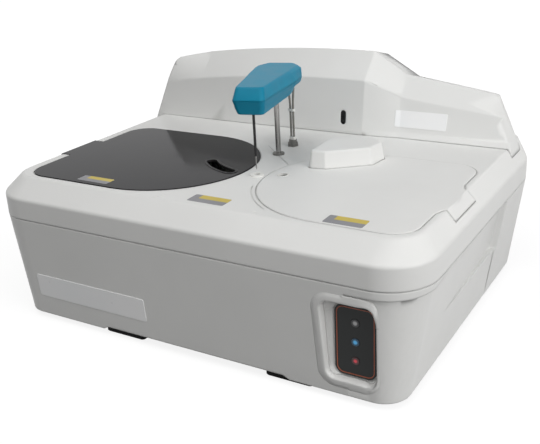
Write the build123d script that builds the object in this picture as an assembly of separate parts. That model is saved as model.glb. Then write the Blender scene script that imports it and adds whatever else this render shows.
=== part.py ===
from build123d import *
import math
import os

os.makedirs("parts", exist_ok=True)

# Benchtop chemistry analyzer: a wide moulded housing with a rear hood, two lift-off lids over
# turning discs, and a pipetting arm on a lifting shaft between them.
# Frame: millimetres, +Z up, front towards -Y, origin on the bench at the centre of the outline.

# ---------------------------------------------------------------- housing
BODY_W = 860.0            # width at the seam
BODY_D = 644.0            # depth at the seam
SEAM_R = 82.0             # plan corner radius at the seam
BASE_R = 46.0             # plan corner radius at the foot of the base
BASE_SIDE_DRAFT = 33.5    # how far each side leans in, seam to foot
BASE_FRONT_DRAFT = 14.0   # how far the front leans in, seam to foot
BASE_LIFT = 12.0          # bench to the lower edge of the base
TRAY_UP = 8.0             # lower edge of the base to the underside of the tray
TRAY_T = 2.0
BASE_H = 199.5            # base shell, lower edge to seam
BAND_H = 39.5             # upright band of the top cover
SLOPE_H = 29.0            # sloped shoulder between band and deck
SHOULDER_SIDE = 26.0
SHOULDER_FRONT = 43.0
DECK_R = 50.0
BASE_WALL = 4.0
COVER_WALL = 5.0
DECK_T = 7.0
SEAM_GAP = 1.2            # height of a shadow gap
SEAM_DEPTH = 2.0

FRONT = -BODY_D / 2
REAR = BODY_D / 2
HALF = BODY_W / 2
BASE_Z = BASE_LIFT
TRAY_Z = BASE_Z + TRAY_UP
FLOOR_Z = TRAY_Z + TRAY_T
SEAM_Z = BASE_Z + BASE_H
BAND_Z = SEAM_Z + BAND_H
DECK_Z = BAND_Z + SLOPE_H
DECK_UNDER = DECK_Z - DECK_T
DECK_HALF = HALF - SHOULDER_SIDE
DECK_FRONT = FRONT + SHOULDER_FRONT
CLEAR = 0.3               # gap beside a piece that moves

# ---------------------------------------------------------------- wells, lids and discs
WELLS_X = 32.0            # middle line between the two wells
WELL_SPACING = 400.0
WELLS_FROM_FRONT = 230.0
LID_R = 175.0
LEFT_LID_EDGE = 49.0      # housing side to the outer edge of the reagent lid
RIGHT_LID_EDGE = 38.0     # the same on the reaction side
LID_CORNER = 45.0
LID_T = 4.0
LID_PROUD = 1.0
LID_GAP = 2.0
LAND = 13.0               # ledge that carries a lid
TAB_W = 100.0
TAB_DROP = 22.0           # length of a finger tab down the shoulder
CHAMBER_WALL = 4.0
CHAMBER_DEPTH = 98.0

REAGENT_X = WELLS_X - WELL_SPACING / 2
REACTION_X = WELLS_X + WELL_SPACING / 2
WELL_Y = FRONT + WELLS_FROM_FRONT
WELL_R = LID_R - LAND
CHAMBER_R = WELL_R + CHAMBER_WALL
CHAMBER_Z = DECK_UNDER - CHAMBER_DEPTH
LID_Z = DECK_Z + LID_PROUD - LID_T

# ---------------------------------------------------------------- pipetting arm
SHAFT_X = WELLS_X - 21.0
SHAFT_BEHIND = 110.5      # line through the two wells to the shaft
SHAFT_Y = WELL_Y + SHAFT_BEHIND
SHAFT_R = 5.0
PROBE_R = 131.0           # shaft to needle
REST_ANGLE = -77.5        # parked over the wash well
PORT_ANGLE = -56.7        # over the reaction cuvettes
SAMPLE_ANGLE = -136.0     # over the sample tubes
REAGENT_ANGLE = -109.0    # over the reagent bottles
SLOT_END_ANGLE = -103.0   # end of the slot in the reagent lid
ARM_SKEW = 2.3            # the covers' middle line against the line from shaft to needle
ARM_OFFSET = 5.0          # middle line of the covers to the needle
ARM_UNDER = 113.0         # deck to the underside of the arm
ARM_RIDGE = 26.0          # underside to the parting ridge
ARM_H = 48.0
ARM_WALL = 2.5
NEEDLE_TIP = 12.0         # deck to the parked needle tip
NEEDLE_R = 1.1
NEEDLE_BARE = 25.0
SLEEVE_R = 2.4
SHAFT_RUN = 0.05          # running clearance of the shaft
SLOT_W = 20.0
ARM_Z = DECK_Z + ARM_UNDER
RIDGE_Z = ARM_Z + ARM_RIDGE
ARM_TOP = ARM_Z + ARM_H
SHAFT_FOOT = DECK_UNDER - 58.0


def polar(x, y, radius, degrees):
    angle = math.radians(degrees)
    return x + radius * math.cos(angle), y + radius * math.sin(angle)


NEEDLE_X, NEEDLE_Y = polar(SHAFT_X, SHAFT_Y, PROBE_R, REST_ANGLE)
PORT_X, PORT_Y = polar(SHAFT_X, SHAFT_Y, PROBE_R, PORT_ANGLE)
SAMPLE_X, SAMPLE_Y = polar(SHAFT_X, SHAFT_Y, PROBE_R, SAMPLE_ANGLE)
BOTTLE_X, BOTTLE_Y = polar(SHAFT_X, SHAFT_Y, PROBE_R, REAGENT_ANGLE)
CUVETTE_R = math.dist((PORT_X, PORT_Y), (REACTION_X, WELL_Y))
CUVETTE_PHASE = math.degrees(math.atan2(PORT_Y - WELL_Y, PORT_X - REACTION_X))
TUBE_RING_R = math.dist((SAMPLE_X, SAMPLE_Y), (REAGENT_X, WELL_Y))
TUBE_PHASE = math.degrees(math.atan2(SAMPLE_Y - WELL_Y, SAMPLE_X - REAGENT_X))
NECK_RING_R = math.dist((BOTTLE_X, BOTTLE_Y), (REAGENT_X, WELL_Y))


# ---------------------------------------------------------------- shared forms
def plan(z, inset, half, front, rear, front_r, rear_r):
    """A flat rounded outline of the housing, drawn in by inset."""
    depth = rear - front - 2 * inset
    outline = Pos(0, (front + rear) / 2, z) * Rectangle(2 * (half - inset), depth)
    outline = fillet(outline.vertices().group_by(Axis.Y)[0], front_r - inset)
    return fillet(outline.vertices().group_by(Axis.Y)[-1], rear_r - inset)


def foot_plan(inset=0.0):
    return plan(BASE_Z, inset, HALF - BASE_SIDE_DRAFT, FRONT + BASE_FRONT_DRAFT, REAR, BASE_R, BASE_R)


def seam_plan(z, inset=0.0):
    return plan(z, inset, HALF, FRONT, REAR, SEAM_R, SEAM_R)


def base_skin(inset=0.0, top_inset=None):
    """The tapered tub, whole, drawn in by inset (and by top_inset at the seam)."""
    top_inset = inset if top_inset is None else top_inset
    return loft([foot_plan(inset), seam_plan(SEAM_Z, top_inset)], ruled=True)


def cover_skin(inset=0.0, deck_z=DECK_Z):
    """The top cover, whole: upright band, then the sloped shoulder up to the deck."""
    deck = plan(deck_z, inset, DECK_HALF, DECK_FRONT, REAR, DECK_R, DECK_R)
    band = loft([seam_plan(SEAM_Z, inset), seam_plan(BAND_Z, inset)], ruled=True)
    return band + loft([seam_plan(BAND_Z, inset), deck], ruled=True)


def ring(x, y, z, outer, inner, height):
    """An upright tube from z up."""
    disc = Circle(outer) - Circle(inner)
    return extrude(Pos(x, y, z) * disc, height)


def rod(x, y, z, radius, height):
    return Pos(x, y, z) * Cylinder(radius, height, align=(Align.CENTER, Align.CENTER, Align.MIN))


def block(x0, x1, y0, y1, z0, z1):
    size = Box(x1 - x0, y1 - y0, z1 - z0)
    return Pos((x0 + x1) / 2, (y0 + y1) / 2, (z0 + z1) / 2) * size


def face_on(plane, points):
    return plane * make_face(Polyline(*points, close=True))


def around(piece, x, y, count, phase=0.0):
    """Copies of a piece that stands on the +X side of (x, y), turned about that point."""
    turned = []
    for index in range(count):
        turn = phase + 360.0 * index / count
        turned.append(Pos(x, y, 0) * Rot(0, 0, turn) * piece)
    return turned


# ---------------------------------------------------------------- base
SWITCH_X = HALF - 110.0   # switch panel centre
SWITCH_Z = 95.5           # above the foot of the base
SWITCH_W = 70.0
SWITCH_H = 123.0
SWITCH_R = 15.0
SWITCH_RECESS = 25.0      # seam face to the panel
PANEL_T = 3.0
POCKET_MARGIN = 2.0
POCKET_OUT = 45.0         # length over which the pocket flares out
FLARE_LEFT = 53.0
FLARE_RIGHT = 8.0
FLARE_DOWN = 55.0
FLARE_UP = 36.0
LEDGE_STEP = 6.0          # set-back of the surface under the ledge, at the seam
LEDGE_FOOT = 0.4          # the same at the lower edge
LEDGE_DROP = 17.5         # seam to ledge at the front
LEDGE_RISE = 0.0394
LEDGE_START = 310.0
SCOOP_DEPTH = 12.0
SCOOP_REAR = REAR - 204.0
SCOOP_FRONT = FRONT + 62.0
SCOOP_LOW = 98.0          # above the foot of the base
SCOOP_HIGH = 194.0
BUTTON_R = 6.5
BUTTON_PITCH = 33.0
BUTTON_TRAVEL = 1.2
BUTTON_SKIRT = BASE_WALL - BUTTON_TRAVEL - 2 * CLEAR
BUTTON_PROUD = 0.9
BOARD_T = 1.6
SWITCH_Y = FRONT + SWITCH_RECESS
PANEL_MID_Z = BASE_Z + SWITCH_Z
BUTTON_OFFSETS = [BUTTON_PITCH, 0.0, -BUTTON_PITCH]


def pocket(grow=0.0):
    """The flared hollow in front of the switch panel, cut into the base."""
    inner_w = SWITCH_W + 2 * (POCKET_MARGIN + grow)
    inner_h = SWITCH_H + 2 * (POCKET_MARGIN + grow)
    floor = Plane((SWITCH_X, SWITCH_Y + grow, PANEL_MID_Z), x_dir=(1, 0, 0), z_dir=(0, -1, 0))
    shift_x = (FLARE_RIGHT - FLARE_LEFT) / 2
    shift_z = (FLARE_UP - FLARE_DOWN) / 2
    middle = (SWITCH_X + shift_x, SWITCH_Y + grow - POCKET_OUT, PANEL_MID_Z + shift_z)
    mouth = Plane(middle, x_dir=(1, 0, 0), z_dir=(0, -1, 0))
    radius = SWITCH_R + POCKET_MARGIN + grow
    small = floor * RectangleRounded(inner_w, inner_h, radius)
    wide_w = inner_w + FLARE_LEFT + FLARE_RIGHT
    wide_h = inner_h + FLARE_UP + FLARE_DOWN
    wide = mouth * RectangleRounded(wide_w, wide_h, 2.4 * radius)
    return loft([small, wide], ruled=True)


def side_draft(z):
    """How far the side leans in at a height above the foot of the base."""
    return BASE_SIDE_DRAFT * (1 - z / BASE_H)


def scoop(grow=0.0):
    """The hand recess in the right side, deepest at its rear end."""
    sections = []
    for height in (SCOOP_LOW - grow, SCOOP_HIGH + grow):
        wall_x = HALF - side_draft(height)
        points = [(wall_x + 30, SCOOP_FRONT), (wall_x - grow, SCOOP_FRONT),
                  (wall_x - SCOOP_DEPTH - grow, SCOOP_REAR + grow), (wall_x + 30, SCOOP_REAR + 20 + grow)]
        sections.append(face_on(Plane.XY.offset(BASE_Z + height), points))
    return loft(sections, ruled=True)


def ledge(grow=0.0):
    """The set-back round the right front corner, under a ledge that rises towards the rear."""
    low = BASE_Z - 5
    high = SEAM_Z - LEDGE_DROP + grow
    rear = SCOOP_REAR + grow
    points = [(FRONT - 60, low), (rear, low), (rear, high + LEDGE_RISE * (rear - FRONT)), (FRONT - 60, high)]
    region = extrude(face_on(Plane.YZ.offset(LEDGE_START - grow), points), HALF)
    return region - base_skin(LEDGE_FOOT + grow, LEDGE_STEP + grow)


REAR_PANEL_W = 520.0
REAR_PANEL_H = 130.0
REAR_PANEL_Z = 30.0       # above the foot of the base
REAR_PANEL_DEPTH = 24.0
REAR_FLANGE = 8.0
SHEET_T = 1.5


def seam_groove(z):
    """A frame cut from the outer face, one shadow gap high, with its top at z."""
    outer = extrude(seam_plan(z - SEAM_GAP, -10), SEAM_GAP)
    return outer - extrude(seam_plan(z - SEAM_GAP, SEAM_DEPTH), SEAM_GAP)


def rear_opening():
    low = BASE_Z + REAR_PANEL_Z
    half_w = REAR_PANEL_W / 2
    return block(-half_w, half_w, REAR - 3 * BASE_WALL, REAR + 10, low, low + REAR_PANEL_H)


def button_window():
    half_w = BUTTON_R + 5
    half_h = BUTTON_PITCH + BUTTON_R + 5
    return block(SWITCH_X - half_w, SWITCH_X + half_w, SWITCH_Y - 1, SWITCH_Y + BASE_WALL + 1,
                 PANEL_MID_Z - half_h, PANEL_MID_Z + half_h)


def base_shell():
    outside = base_skin() - pocket() - scoop() - scoop().mirror(Plane.YZ) - ledge()
    cavity = base_skin(BASE_WALL) - ledge(BASE_WALL)
    cavity = cavity - pocket(BASE_WALL) - scoop(BASE_WALL) - scoop(BASE_WALL).mirror(Plane.YZ)
    shell = outside - cavity - seam_groove(SEAM_Z) - rear_opening() - button_window()
    return shell - relief()


RELIEF_X = 7.0            # middle of the raised stretch of the lower edge
RELIEF_W = 400.0
RELIEF_H = 6.5
RELIEF_RAMP = 14.0


def relief():
    """The lower edge of the base, raised between the feet at the front and the rear."""
    half = RELIEF_W / 2
    points = [(RELIEF_X - half, BASE_Z - 1), (RELIEF_X - half + RELIEF_RAMP, BASE_Z + RELIEF_H),
              (RELIEF_X + half - RELIEF_RAMP, BASE_Z + RELIEF_H), (RELIEF_X + half, BASE_Z - 1)]
    plane = Plane((0, FRONT - 10, 0), x_dir=(1, 0, 0), z_dir=(0, -1, 0))
    return extrude(plane * make_face(Polyline(*points, close=True)), -BODY_D - 20)


TRAY_LIP = 5.0


def bottom_tray():
    """Sheet-metal pan inside the foot of the base shell; the machine's works stand on it."""
    slab = block(-HALF, HALF, FRONT, REAR, TRAY_Z, FLOOR_Z)
    rim = block(-HALF, HALF, FRONT, REAR, FLOOR_Z, FLOOR_Z + TRAY_LIP)
    return ((slab + rim) & tray_fit(BASE_WALL + CLEAR)) - (rim & tray_fit(BASE_WALL + CLEAR + SHEET_T))


def tray_fit(inset):
    """The room inside the base, its walls brought in by inset."""
    return base_skin(inset) - ledge(inset) - pocket(inset)


FOOT_W = 90.0
FOOT_D = 44.0
FOOT_X = 21.0             # middle of the feet
FOOT_SPAN = 174.0         # from there to each foot
FOOT_IN = 12.0            # edge of the base to a foot


def feet():
    """Four black pads under the tray that stand the machine clear of the bench."""
    front_y = FRONT + BASE_FRONT_DRAFT + FOOT_IN + FOOT_D / 2
    rear_y = REAR - FOOT_IN - FOOT_D / 2
    pads = []
    for side in (-1, 1):
        for y in (front_y, rear_y):
            pad = Pos(FOOT_X + side * FOOT_SPAN, y, 0) * RectangleRounded(FOOT_W, FOOT_D, 8)
            pads.append(chamfer(extrude(pad, TRAY_Z).faces().sort_by(Axis.Z)[0].edges(), 2))
    return Compound(children=pads)


# ---------------------------------------------------------------- optics cover and lids
# Foot of the optics cover, from the middle of the line through the two wells.
OPTICS = [(72, 53), (106, 58), (175, 112), (181, 157), (158, 181), (90, 181), (68, 132)]
OPTICS_H = 33.0
OPTICS_DRAFT = 5.0
OPTICS_CORNER = 9.0
OPTICS_GAP = 1.0
OPTICS_LAND = 8.0


def optics_plan(z, grow=0.0):
    outline = make_face(Polyline(*OPTICS, close=True))
    outline = fillet(outline.vertices(), OPTICS_CORNER)
    if grow:
        outline = offset(outline, grow)
    return Pos(WELLS_X, WELL_Y, z) * outline


def lid_edge_x(side):
    return HALF - (LEFT_LID_EDGE if side < 0 else RIGHT_LID_EDGE)


def lid_plan(side, grow=0.0):
    """A lid's outline: round over the disc, squared off towards the housing side."""
    centre = REAGENT_X if side < 0 else REACTION_X
    edge = side * (lid_edge_x(side) + grow)
    width = abs(edge - centre)
    square = Pos((edge + centre) / 2, WELL_Y) * Rectangle(width, 2 * (LID_R + grow))
    outer = square.vertices().group_by(Axis.X)[0 if side < 0 else -1]
    return fillet(outer, LID_CORNER + grow) + Pos(centre, WELL_Y) * Circle(LID_R + grow)


def tab_profile(side, depth, beyond=0.0, reach=0.0):
    """The finger tab's section: over the deck rim, then down along the shoulder."""
    run = math.hypot(SHOULDER_SIDE, SLOPE_H)
    down = (SHOULDER_SIDE / run, -SLOPE_H / run)
    out = (SLOPE_H / run, SHOULDER_SIDE / run)
    top = DECK_Z + LID_PROUD
    start_x = lid_edge_x(side) - 4
    bend_x = DECK_HALF + LID_PROUD * (1 - out[1]) / out[0]
    length = TAB_DROP + reach
    tip = (bend_x + down[0] * length, top + down[1] * length)
    low_bend_x = bend_x - depth * (1 - out[1]) / out[0]
    low_tip = (tip[0] - out[0] * depth, tip[1] - out[1] * depth)
    high = (tip[0] + out[0] * beyond, tip[1] + out[1] * beyond)
    points = [(start_x, top - depth), (low_bend_x, top - depth), low_tip, high,
              (bend_x + beyond, top + beyond), (start_x, top + beyond)]
    return [(side * x, z) for x, z in points]


def tab(side, wide=0.0, beyond=0.0, reach=0.0):
    width = TAB_W + 2 * wide
    plane = Plane((0, WELL_Y - width / 2, 0), x_dir=(1, 0, 0), z_dir=(0, -1, 0))
    return extrude(face_on(plane, tab_profile(side, LID_T, beyond, reach)), -width)


def lid_form(side, grow=0.0, z=LID_Z, height=LID_T):
    form = extrude(Pos(0, 0, z) * lid_plan(side, grow), height)
    if side > 0:
        form = form - extrude(optics_plan(z - 1, OPTICS_GAP if not grow else 0.0), height + 2)
    return form


def probe_slot(width):
    path = CenterArc((SHAFT_X, SHAFT_Y), PROBE_R, SAMPLE_ANGLE, SLOT_END_ANGLE - SAMPLE_ANGLE)
    return SlotArc(path, width)


PORT_R = 8.0
PORT_RING = 3.0
SLOT_RIM = 2.0


def reagent_lid():
    slot = extrude(Pos(0, 0, LID_Z - 1) * probe_slot(SLOT_W + 2 * SLOT_RIM), LID_T + 2)
    return lid_form(-1) + tab(-1) - slot


def slot_rim():
    """Black frame pressed into the reagent lid's slot."""
    outer = extrude(Pos(0, 0, LID_Z) * probe_slot(SLOT_W + 2 * SLOT_RIM), LID_T)
    flange_z = LID_Z + LID_T
    flange = extrude(Pos(0, 0, flange_z) * probe_slot(SLOT_W + 4 * SLOT_RIM), 0.8)
    return outer + flange - extrude(Pos(0, 0, LID_Z - 1) * probe_slot(SLOT_W), LID_T + 3)


def reaction_lid():
    hole = rod(PORT_X, PORT_Y, LID_Z - 1, PORT_R + PORT_RING, LID_T + 2)
    return lid_form(1) + tab(1) - hole


def port_ring():
    flange = ring(PORT_X, PORT_Y, LID_Z + LID_T, PORT_R + PORT_RING, PORT_R, 0.6)
    return ring(PORT_X, PORT_Y, LID_Z, PORT_R + PORT_RING, PORT_R, LID_T) + flange


# ---------------------------------------------------------------- top cover
WASH_R = 10.5
BUSH_R = 9.0
GLAND_DY = 61.0           # shaft to tube gland
GLAND_R = 9.0
GLAND_NUT_H = 6.0
GLAND_NOSE_H = 7.0
GLAND_X = SHAFT_X - 1.6
GLAND_Y = SHAFT_Y + GLAND_DY
GROOVE_W = 1.6
GROOVE_DEPTH = 1.6
ARC_GROOVE_R = LID_R + 9.0
SCREW_R = 2.6
DECK_SCREWS = [(-64, 50), (-57, 61), (129, 57)]   # x, distance from the front of the housing


def deck_grooves():
    """Panel joints in the deck: one on a diagonal past the shaft, one round the reaction lid."""
    joint = Line((SHAFT_X - 48, SHAFT_Y + 42.5), (SHAFT_X + 66, SHAFT_Y - 66.5))
    arc = CenterArc((REACTION_X, WELL_Y), ARC_GROOVE_R, -158, 37)
    z = DECK_Z - GROOVE_DEPTH
    return [extrude(Pos(0, 0, z) * SlotArc(path, GROOVE_W), GROOVE_DEPTH + 1) for path in (joint, arc)]


def well_opening(x):
    return rod(x, WELL_Y, DECK_UNDER - 5, WELL_R, DECK_T + 10)


def top_cover():
    shell = cover_skin() - cover_skin(COVER_WALL, DECK_UNDER)
    for side in (-1, 1):
        shell = shell - lid_form(side, LID_GAP, LID_Z, 2 * LID_T)
        shell = shell - tab(side, LID_GAP / 2, 6.0, LID_GAP)
    optics_land = extrude(optics_plan(DECK_UNDER - 5, OPTICS_LAND), DECK_T + 10)
    shell = shell - well_opening(REAGENT_X) - (well_opening(REACTION_X) - optics_land)
    for x, y, radius in [(NEEDLE_X, NEEDLE_Y, WASH_R), (SHAFT_X, SHAFT_Y, BUSH_R),
                         (GLAND_X, GLAND_Y, GLAND_R)]:
        shell = shell - rod(x, y, DECK_UNDER - 1, radius, DECK_T + 2)
    for x, from_front in DECK_SCREWS:
        shell = shell - rod(x, FRONT + from_front, DECK_Z - 2, SCREW_R, 4)
    for groove in deck_grooves():
        shell = shell - groove
    return shell


def screw_caps():
    caps = [rod(x, FRONT + from_front, DECK_Z - 2, SCREW_R, 2.3) for x, from_front in DECK_SCREWS]
    return Compound(children=caps)


def optics_cover():
    foot = optics_plan(DECK_Z)
    top = optics_plan(DECK_Z + OPTICS_H, -OPTICS_DRAFT)
    wall = COVER_WALL - 2
    hollow_foot = optics_plan(DECK_Z, -wall)
    hollow_top = optics_plan(DECK_Z + OPTICS_H - wall, -OPTICS_DRAFT - wall)
    shell = loft([foot, top], ruled=True)
    shell = chamfer(shell.faces().sort_by(Axis.Z)[-1].edges(), 1.5)
    return shell - loft([hollow_foot, hollow_top], ruled=True)


# ---------------------------------------------------------------- rear hood
HOOD_D = 129.0            # depth of the tall part at its foot
HOOD_TOP = 163.0          # deck to the crown
HOOD_FALL = 18.0          # fall of the roof from its front edge to the rear
HOOD_BEVEL = 112.0        # deck to the lower edge of the bevel
HOOD_LEAN = 10.0
HOOD_BEVEL_D = 60.0
FADE_X = -290.0           # left of here the bevel grows shallower
FADE = 0.42               # by this much per length
CROWN_X = 45.0
CROWN_R = 2800.0
STEP_X = 111.0            # the tall part ends here
STEP_W = 72.0             # length of the diagonal drop to the low part
LOW_D = 141.0             # depth of the low part at its foot
LOW_TOP = 119.0           # deck to the low roof beside the step
LOW_FALL = 36.0           # roof drop along the low part
LOW_BEVEL = 40.0
APRON_D = 26.0
APRON_H = 11.0
HOOD_WALL = 4.0
HOOD_SEAT = 0.2           # gap between the hood and the top cover
HOOD_CORNER = 82.0
HOOD_LEFT = -HALF + 10.5  # ends of the hood at deck height
HOOD_RIGHT = HALF - 20.0
HOOD_Y = REAR - HOOD_D
LEFT_SLANT = 0.41         # how far each end leans in, per height
RIGHT_SLANT = 0.449
LEFT_SHOULDER = 26.0      # rounding of the roof's ends
RIGHT_SHOULDER = 28.0
CORNER_EASE = 0.05        # the rear corners run out this far beyond the slanted ends


def crown(x, height):
    """Height above the deck of a line that follows the crown of the roof."""
    centre = HOOD_TOP - CROWN_R
    return centre + math.sqrt((height - centre) ** 2 - (x - CROWN_X) ** 2)


def tall_section(inset, bevel_depth):
    """Section of the tall part at the middle of its crown."""
    front = HOOD_Y + inset
    bevel = HOOD_BEVEL - inset * 0.4
    top = HOOD_TOP - inset
    low = -SLOPE_H - 1
    points = [(front, low), (front, APRON_H), (front + HOOD_LEAN, bevel),
              (front + bevel_depth, top), (REAR - inset, top - HOOD_FALL), (REAR - inset, low)]
    return face_on(Plane.YZ.offset(CROWN_X), [(y, DECK_Z + z) for y, z in points])


def low_section(x, inset):
    along = (x - STEP_X - STEP_W) / (HALF - STEP_X - STEP_W)
    top = LOW_TOP - LOW_FALL * along - inset
    bevel = top - LOW_BEVEL + 5 * along + inset * 0.4
    front = REAR - LOW_D + inset
    low = -SLOPE_H - 1
    points = [(front, low), (front + APRON_D, APRON_H), (front + APRON_D + 17, bevel),
              (front + APRON_D + 43, top), (REAR - inset, top - HOOD_FALL), (REAR - inset, low)]
    return [(y, DECK_Z + z) for y, z in points]


def hood_form(inset=0.0):
    """The hood, whole: crowned tall part, diagonal step, low part with a falling roof."""
    axis = Axis((CROWN_X, 0, DECK_Z + HOOD_TOP - CROWN_R), (0, 1, 0))
    left = math.degrees(math.asin((CROWN_X - FADE_X) / CROWN_R))
    right = math.degrees(math.asin((STEP_X - CROWN_X) / CROWN_R))
    past = (CROWN_X + HALF + 5) / (CROWN_R - HOOD_TOP - 2 * SLOPE_H)
    section = tall_section(inset, HOOD_BEVEL_D)
    tall = revolve(section.rotate(axis, -left), axis, left + right)
    shallow = tall_section(inset, HOOD_BEVEL_D - FADE * (CROWN_R * past - CROWN_X + FADE_X))
    end = loft([shallow.rotate(axis, -math.degrees(math.asin(past))), section.rotate(axis, -left)], ruled=True)
    step = loft([section.rotate(axis, right),
                 face_on(Plane.YZ.offset(STEP_X + STEP_W), low_section(STEP_X + STEP_W, inset))], ruled=True)
    low = loft([face_on(Plane.YZ.offset(STEP_X + STEP_W), low_section(STEP_X + STEP_W, inset)),
                face_on(Plane.YZ.offset(HALF + 5), low_section(HALF + 5, inset))], ruled=True)
    return (end + tall + step + low) & hood_roofline(inset) & hood_outline(inset) & hood_bounds(inset)


def left_shoulder(inset):
    """Where the slanted left end meets the crown, and the crown's slope there."""
    z = HOOD_BEVEL
    for _ in range(6):
        x = HOOD_LEFT + LEFT_SLANT * z + inset
        z = crown(x, HOOD_TOP) - inset
    return x, z, (CROWN_X - x) / (CROWN_R - HOOD_TOP)


def right_shoulder(inset):
    """Where the low roof meets the slanted right end."""
    start = STEP_X + STEP_W
    slope = LOW_FALL / (HALF - start)
    z = (LOW_TOP - inset - slope * (HOOD_RIGHT - inset - start)) / (1 - slope * RIGHT_SLANT)
    return HOOD_RIGHT - RIGHT_SLANT * z - inset, z


def hood_roofline(inset):
    """Front view of the hood with its two rounded shoulders, as a prism from front to rear."""
    low = -2 * SLOPE_H
    left_x, left_z, rise = left_shoulder(inset)
    right_x, right_z = right_shoulder(inset)
    over_step = (STEP_X + 10, left_z + rise * (STEP_X + 10 - left_x))
    points = [(left_x - LEFT_SLANT * (left_z - low), low), (left_x, left_z), over_step,
              (STEP_X + STEP_W, LOW_TOP - inset), (right_x, right_z),
              (right_x + RIGHT_SLANT * (right_z - low), low)]
    outline = make_face(Polyline(*[(x, DECK_Z + z) for x, z in points], close=True))
    by_x = outline.vertices().sort_by(Axis.X)
    outline = fillet(by_x[1], LEFT_SHOULDER - inset)
    outline = fillet(outline.vertices().sort_by(Axis.X)[-2], RIGHT_SHOULDER - inset)
    plane = Plane((0, REAR + 10, 0), x_dir=(1, 0, 0), z_dir=(0, -1, 0))
    return extrude(plane * outline, BODY_D)


def hood_outline(inset):
    """Slanted ends with rounded rear corners, and rounded shoulders at the roof's ends."""
    levels = []
    for height in (-SLOPE_H - 1, HOOD_TOP + 5):
        left = HOOD_LEFT + LEFT_SLANT * height + inset - CORNER_EASE
        right = HOOD_RIGHT - RIGHT_SLANT * height - inset + CORNER_EASE
        middle = ((left + right) / 2, (FRONT + REAR - inset) / 2, DECK_Z + height)
        outline = Pos(*middle) * Rectangle(right - left, BODY_D - inset)
        rear = outline.vertices().group_by(Axis.Y)[-1]
        levels.append(fillet(rear, HOOD_CORNER - inset))
    return loft(levels, ruled=True)


def hood_bounds(inset):
    """The hood never reaches past the housing's own outline."""
    return extrude(seam_plan(DECK_Z - 2 * SLOPE_H, inset), 3 * HOOD_TOP)


WINDOW_X = 65.0
WINDOW_Z = 34.2           # above the deck
WINDOW_W = 12.0
WINDOW_L = 29.0


def window_slot(clear=0.0):
    plane = Plane((WINDOW_X, HOOD_Y + 30, DECK_Z + WINDOW_Z), x_dir=(0, 0, 1), z_dir=(0, -1, 0))
    return extrude(plane * SlotOverall(WINDOW_L - 2 * clear, WINDOW_W - 2 * clear), 60)


hood_solid = hood_form()
hood_inside = hood_form(HOOD_WALL)


def hood():
    foot_gap = block(-DECK_HALF, STEP_X, HOOD_Y - 10, HOOD_Y + SEAM_DEPTH, DECK_Z, DECK_Z + SEAM_GAP)
    seat = cover_skin(-HOOD_SEAT, DECK_Z + HOOD_SEAT)
    return hood_solid - hood_inside - seat - foot_gap - window_slot()


def hood_window():
    return window_slot(0.15) & (hood_form(0.6) - hood_form(HOOD_WALL - 0.4))


# ---------------------------------------------------------------- deck fittings
WASH_DEPTH = 58.0
BOSS_H = 3.0


def wash_well():
    """Open cup that the needle rinses in, with a raised rim on the deck."""
    z = DECK_Z - WASH_DEPTH
    cup = rod(NEEDLE_X, NEEDLE_Y, z, WASH_R, WASH_DEPTH) + rod(NEEDLE_X, NEEDLE_Y, DECK_Z, WASH_R + 2, BOSS_H)
    cup = cup - rod(NEEDLE_X, NEEDLE_Y, z + 4, 6.0, WASH_DEPTH + 10)
    drain = rod(NEEDLE_X, NEEDLE_Y, z - 14, 3.0, 14)
    return cup + drain


def shaft_bush():
    body = rod(SHAFT_X, SHAFT_Y, DECK_UNDER - 4, BUSH_R, DECK_T + 4) + rod(SHAFT_X, SHAFT_Y, DECK_Z, 11.5, 3)
    return body - rod(SHAFT_X, SHAFT_Y, DECK_UNDER - 10, SHAFT_R + SHAFT_RUN, 40)


TUBE_R = 2.1
TUBE_PITCH = 6.0
TUBE_RUN = 0.3
TUBE_FOOT = SHAFT_FOOT + 6.0
TUBE_BEND = 80.0          # deck to the bend of the tubes
TUBE_SPLAY = 3.0


def tube_gland():
    """Flanged sleeve that the two arm tubes slide through."""
    body = rod(GLAND_X, GLAND_Y, DECK_UNDER - 4, GLAND_R, DECK_T + 4)
    nut = extrude(Pos(GLAND_X, GLAND_Y, DECK_Z) * RegularPolygon(11.5, 6), GLAND_NUT_H)
    nose = extrude(Pos(GLAND_X, GLAND_Y, DECK_Z + GLAND_NUT_H) * Circle(8.5), GLAND_NOSE_H, taper=6)
    body = body + nut + nose
    for side in (-1, 1):
        x = GLAND_X + side * TUBE_PITCH / 2
        body = body - rod(x, GLAND_Y, DECK_UNDER - 10, TUBE_R + TUBE_RUN, 60)
    return body


def tube_line(side):
    """One arm tube: straight up through the gland, then splayed into the arm."""
    x = GLAND_X + side * TUBE_PITCH / 2
    bend_z = DECK_Z + TUBE_BEND
    route = FilletPolyline((x, GLAND_Y, TUBE_FOOT), (x, GLAND_Y, bend_z),
                           (x + side * TUBE_SPLAY, GLAND_Y, ARM_Z + ARM_WALL + 1), radius=60)
    section = Plane((x, GLAND_Y, TUBE_FOOT), z_dir=(0, 0, 1)) * Circle(TUBE_R)
    return sweep(section, route)


def arm_tubes():
    return Compound(children=[tube_line(-1), tube_line(1)])


CLIP_Z = 71.0             # deck to the clip
CLIP_H = 4.0
COLLAR_H = 6.0


def tube_sleeve(z, height, clear):
    """A slotted-round sleeve over both tubes, from z up."""
    outline = SlotOverall(TUBE_PITCH + 2 * TUBE_R + 3, 2 * TUBE_R + 3)
    sleeve = extrude(Pos(GLAND_X, GLAND_Y, z) * outline, height)
    for side in (-1, 1):
        sleeve = sleeve - rod(GLAND_X + side * TUBE_PITCH / 2, GLAND_Y, z - 1, TUBE_R + clear, height + 2)
    return sleeve


def tube_clip():
    """Small white clip that holds the pair of tubes together and moves with them."""
    return tube_sleeve(DECK_Z + CLIP_Z, CLIP_H, 0.0)


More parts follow.
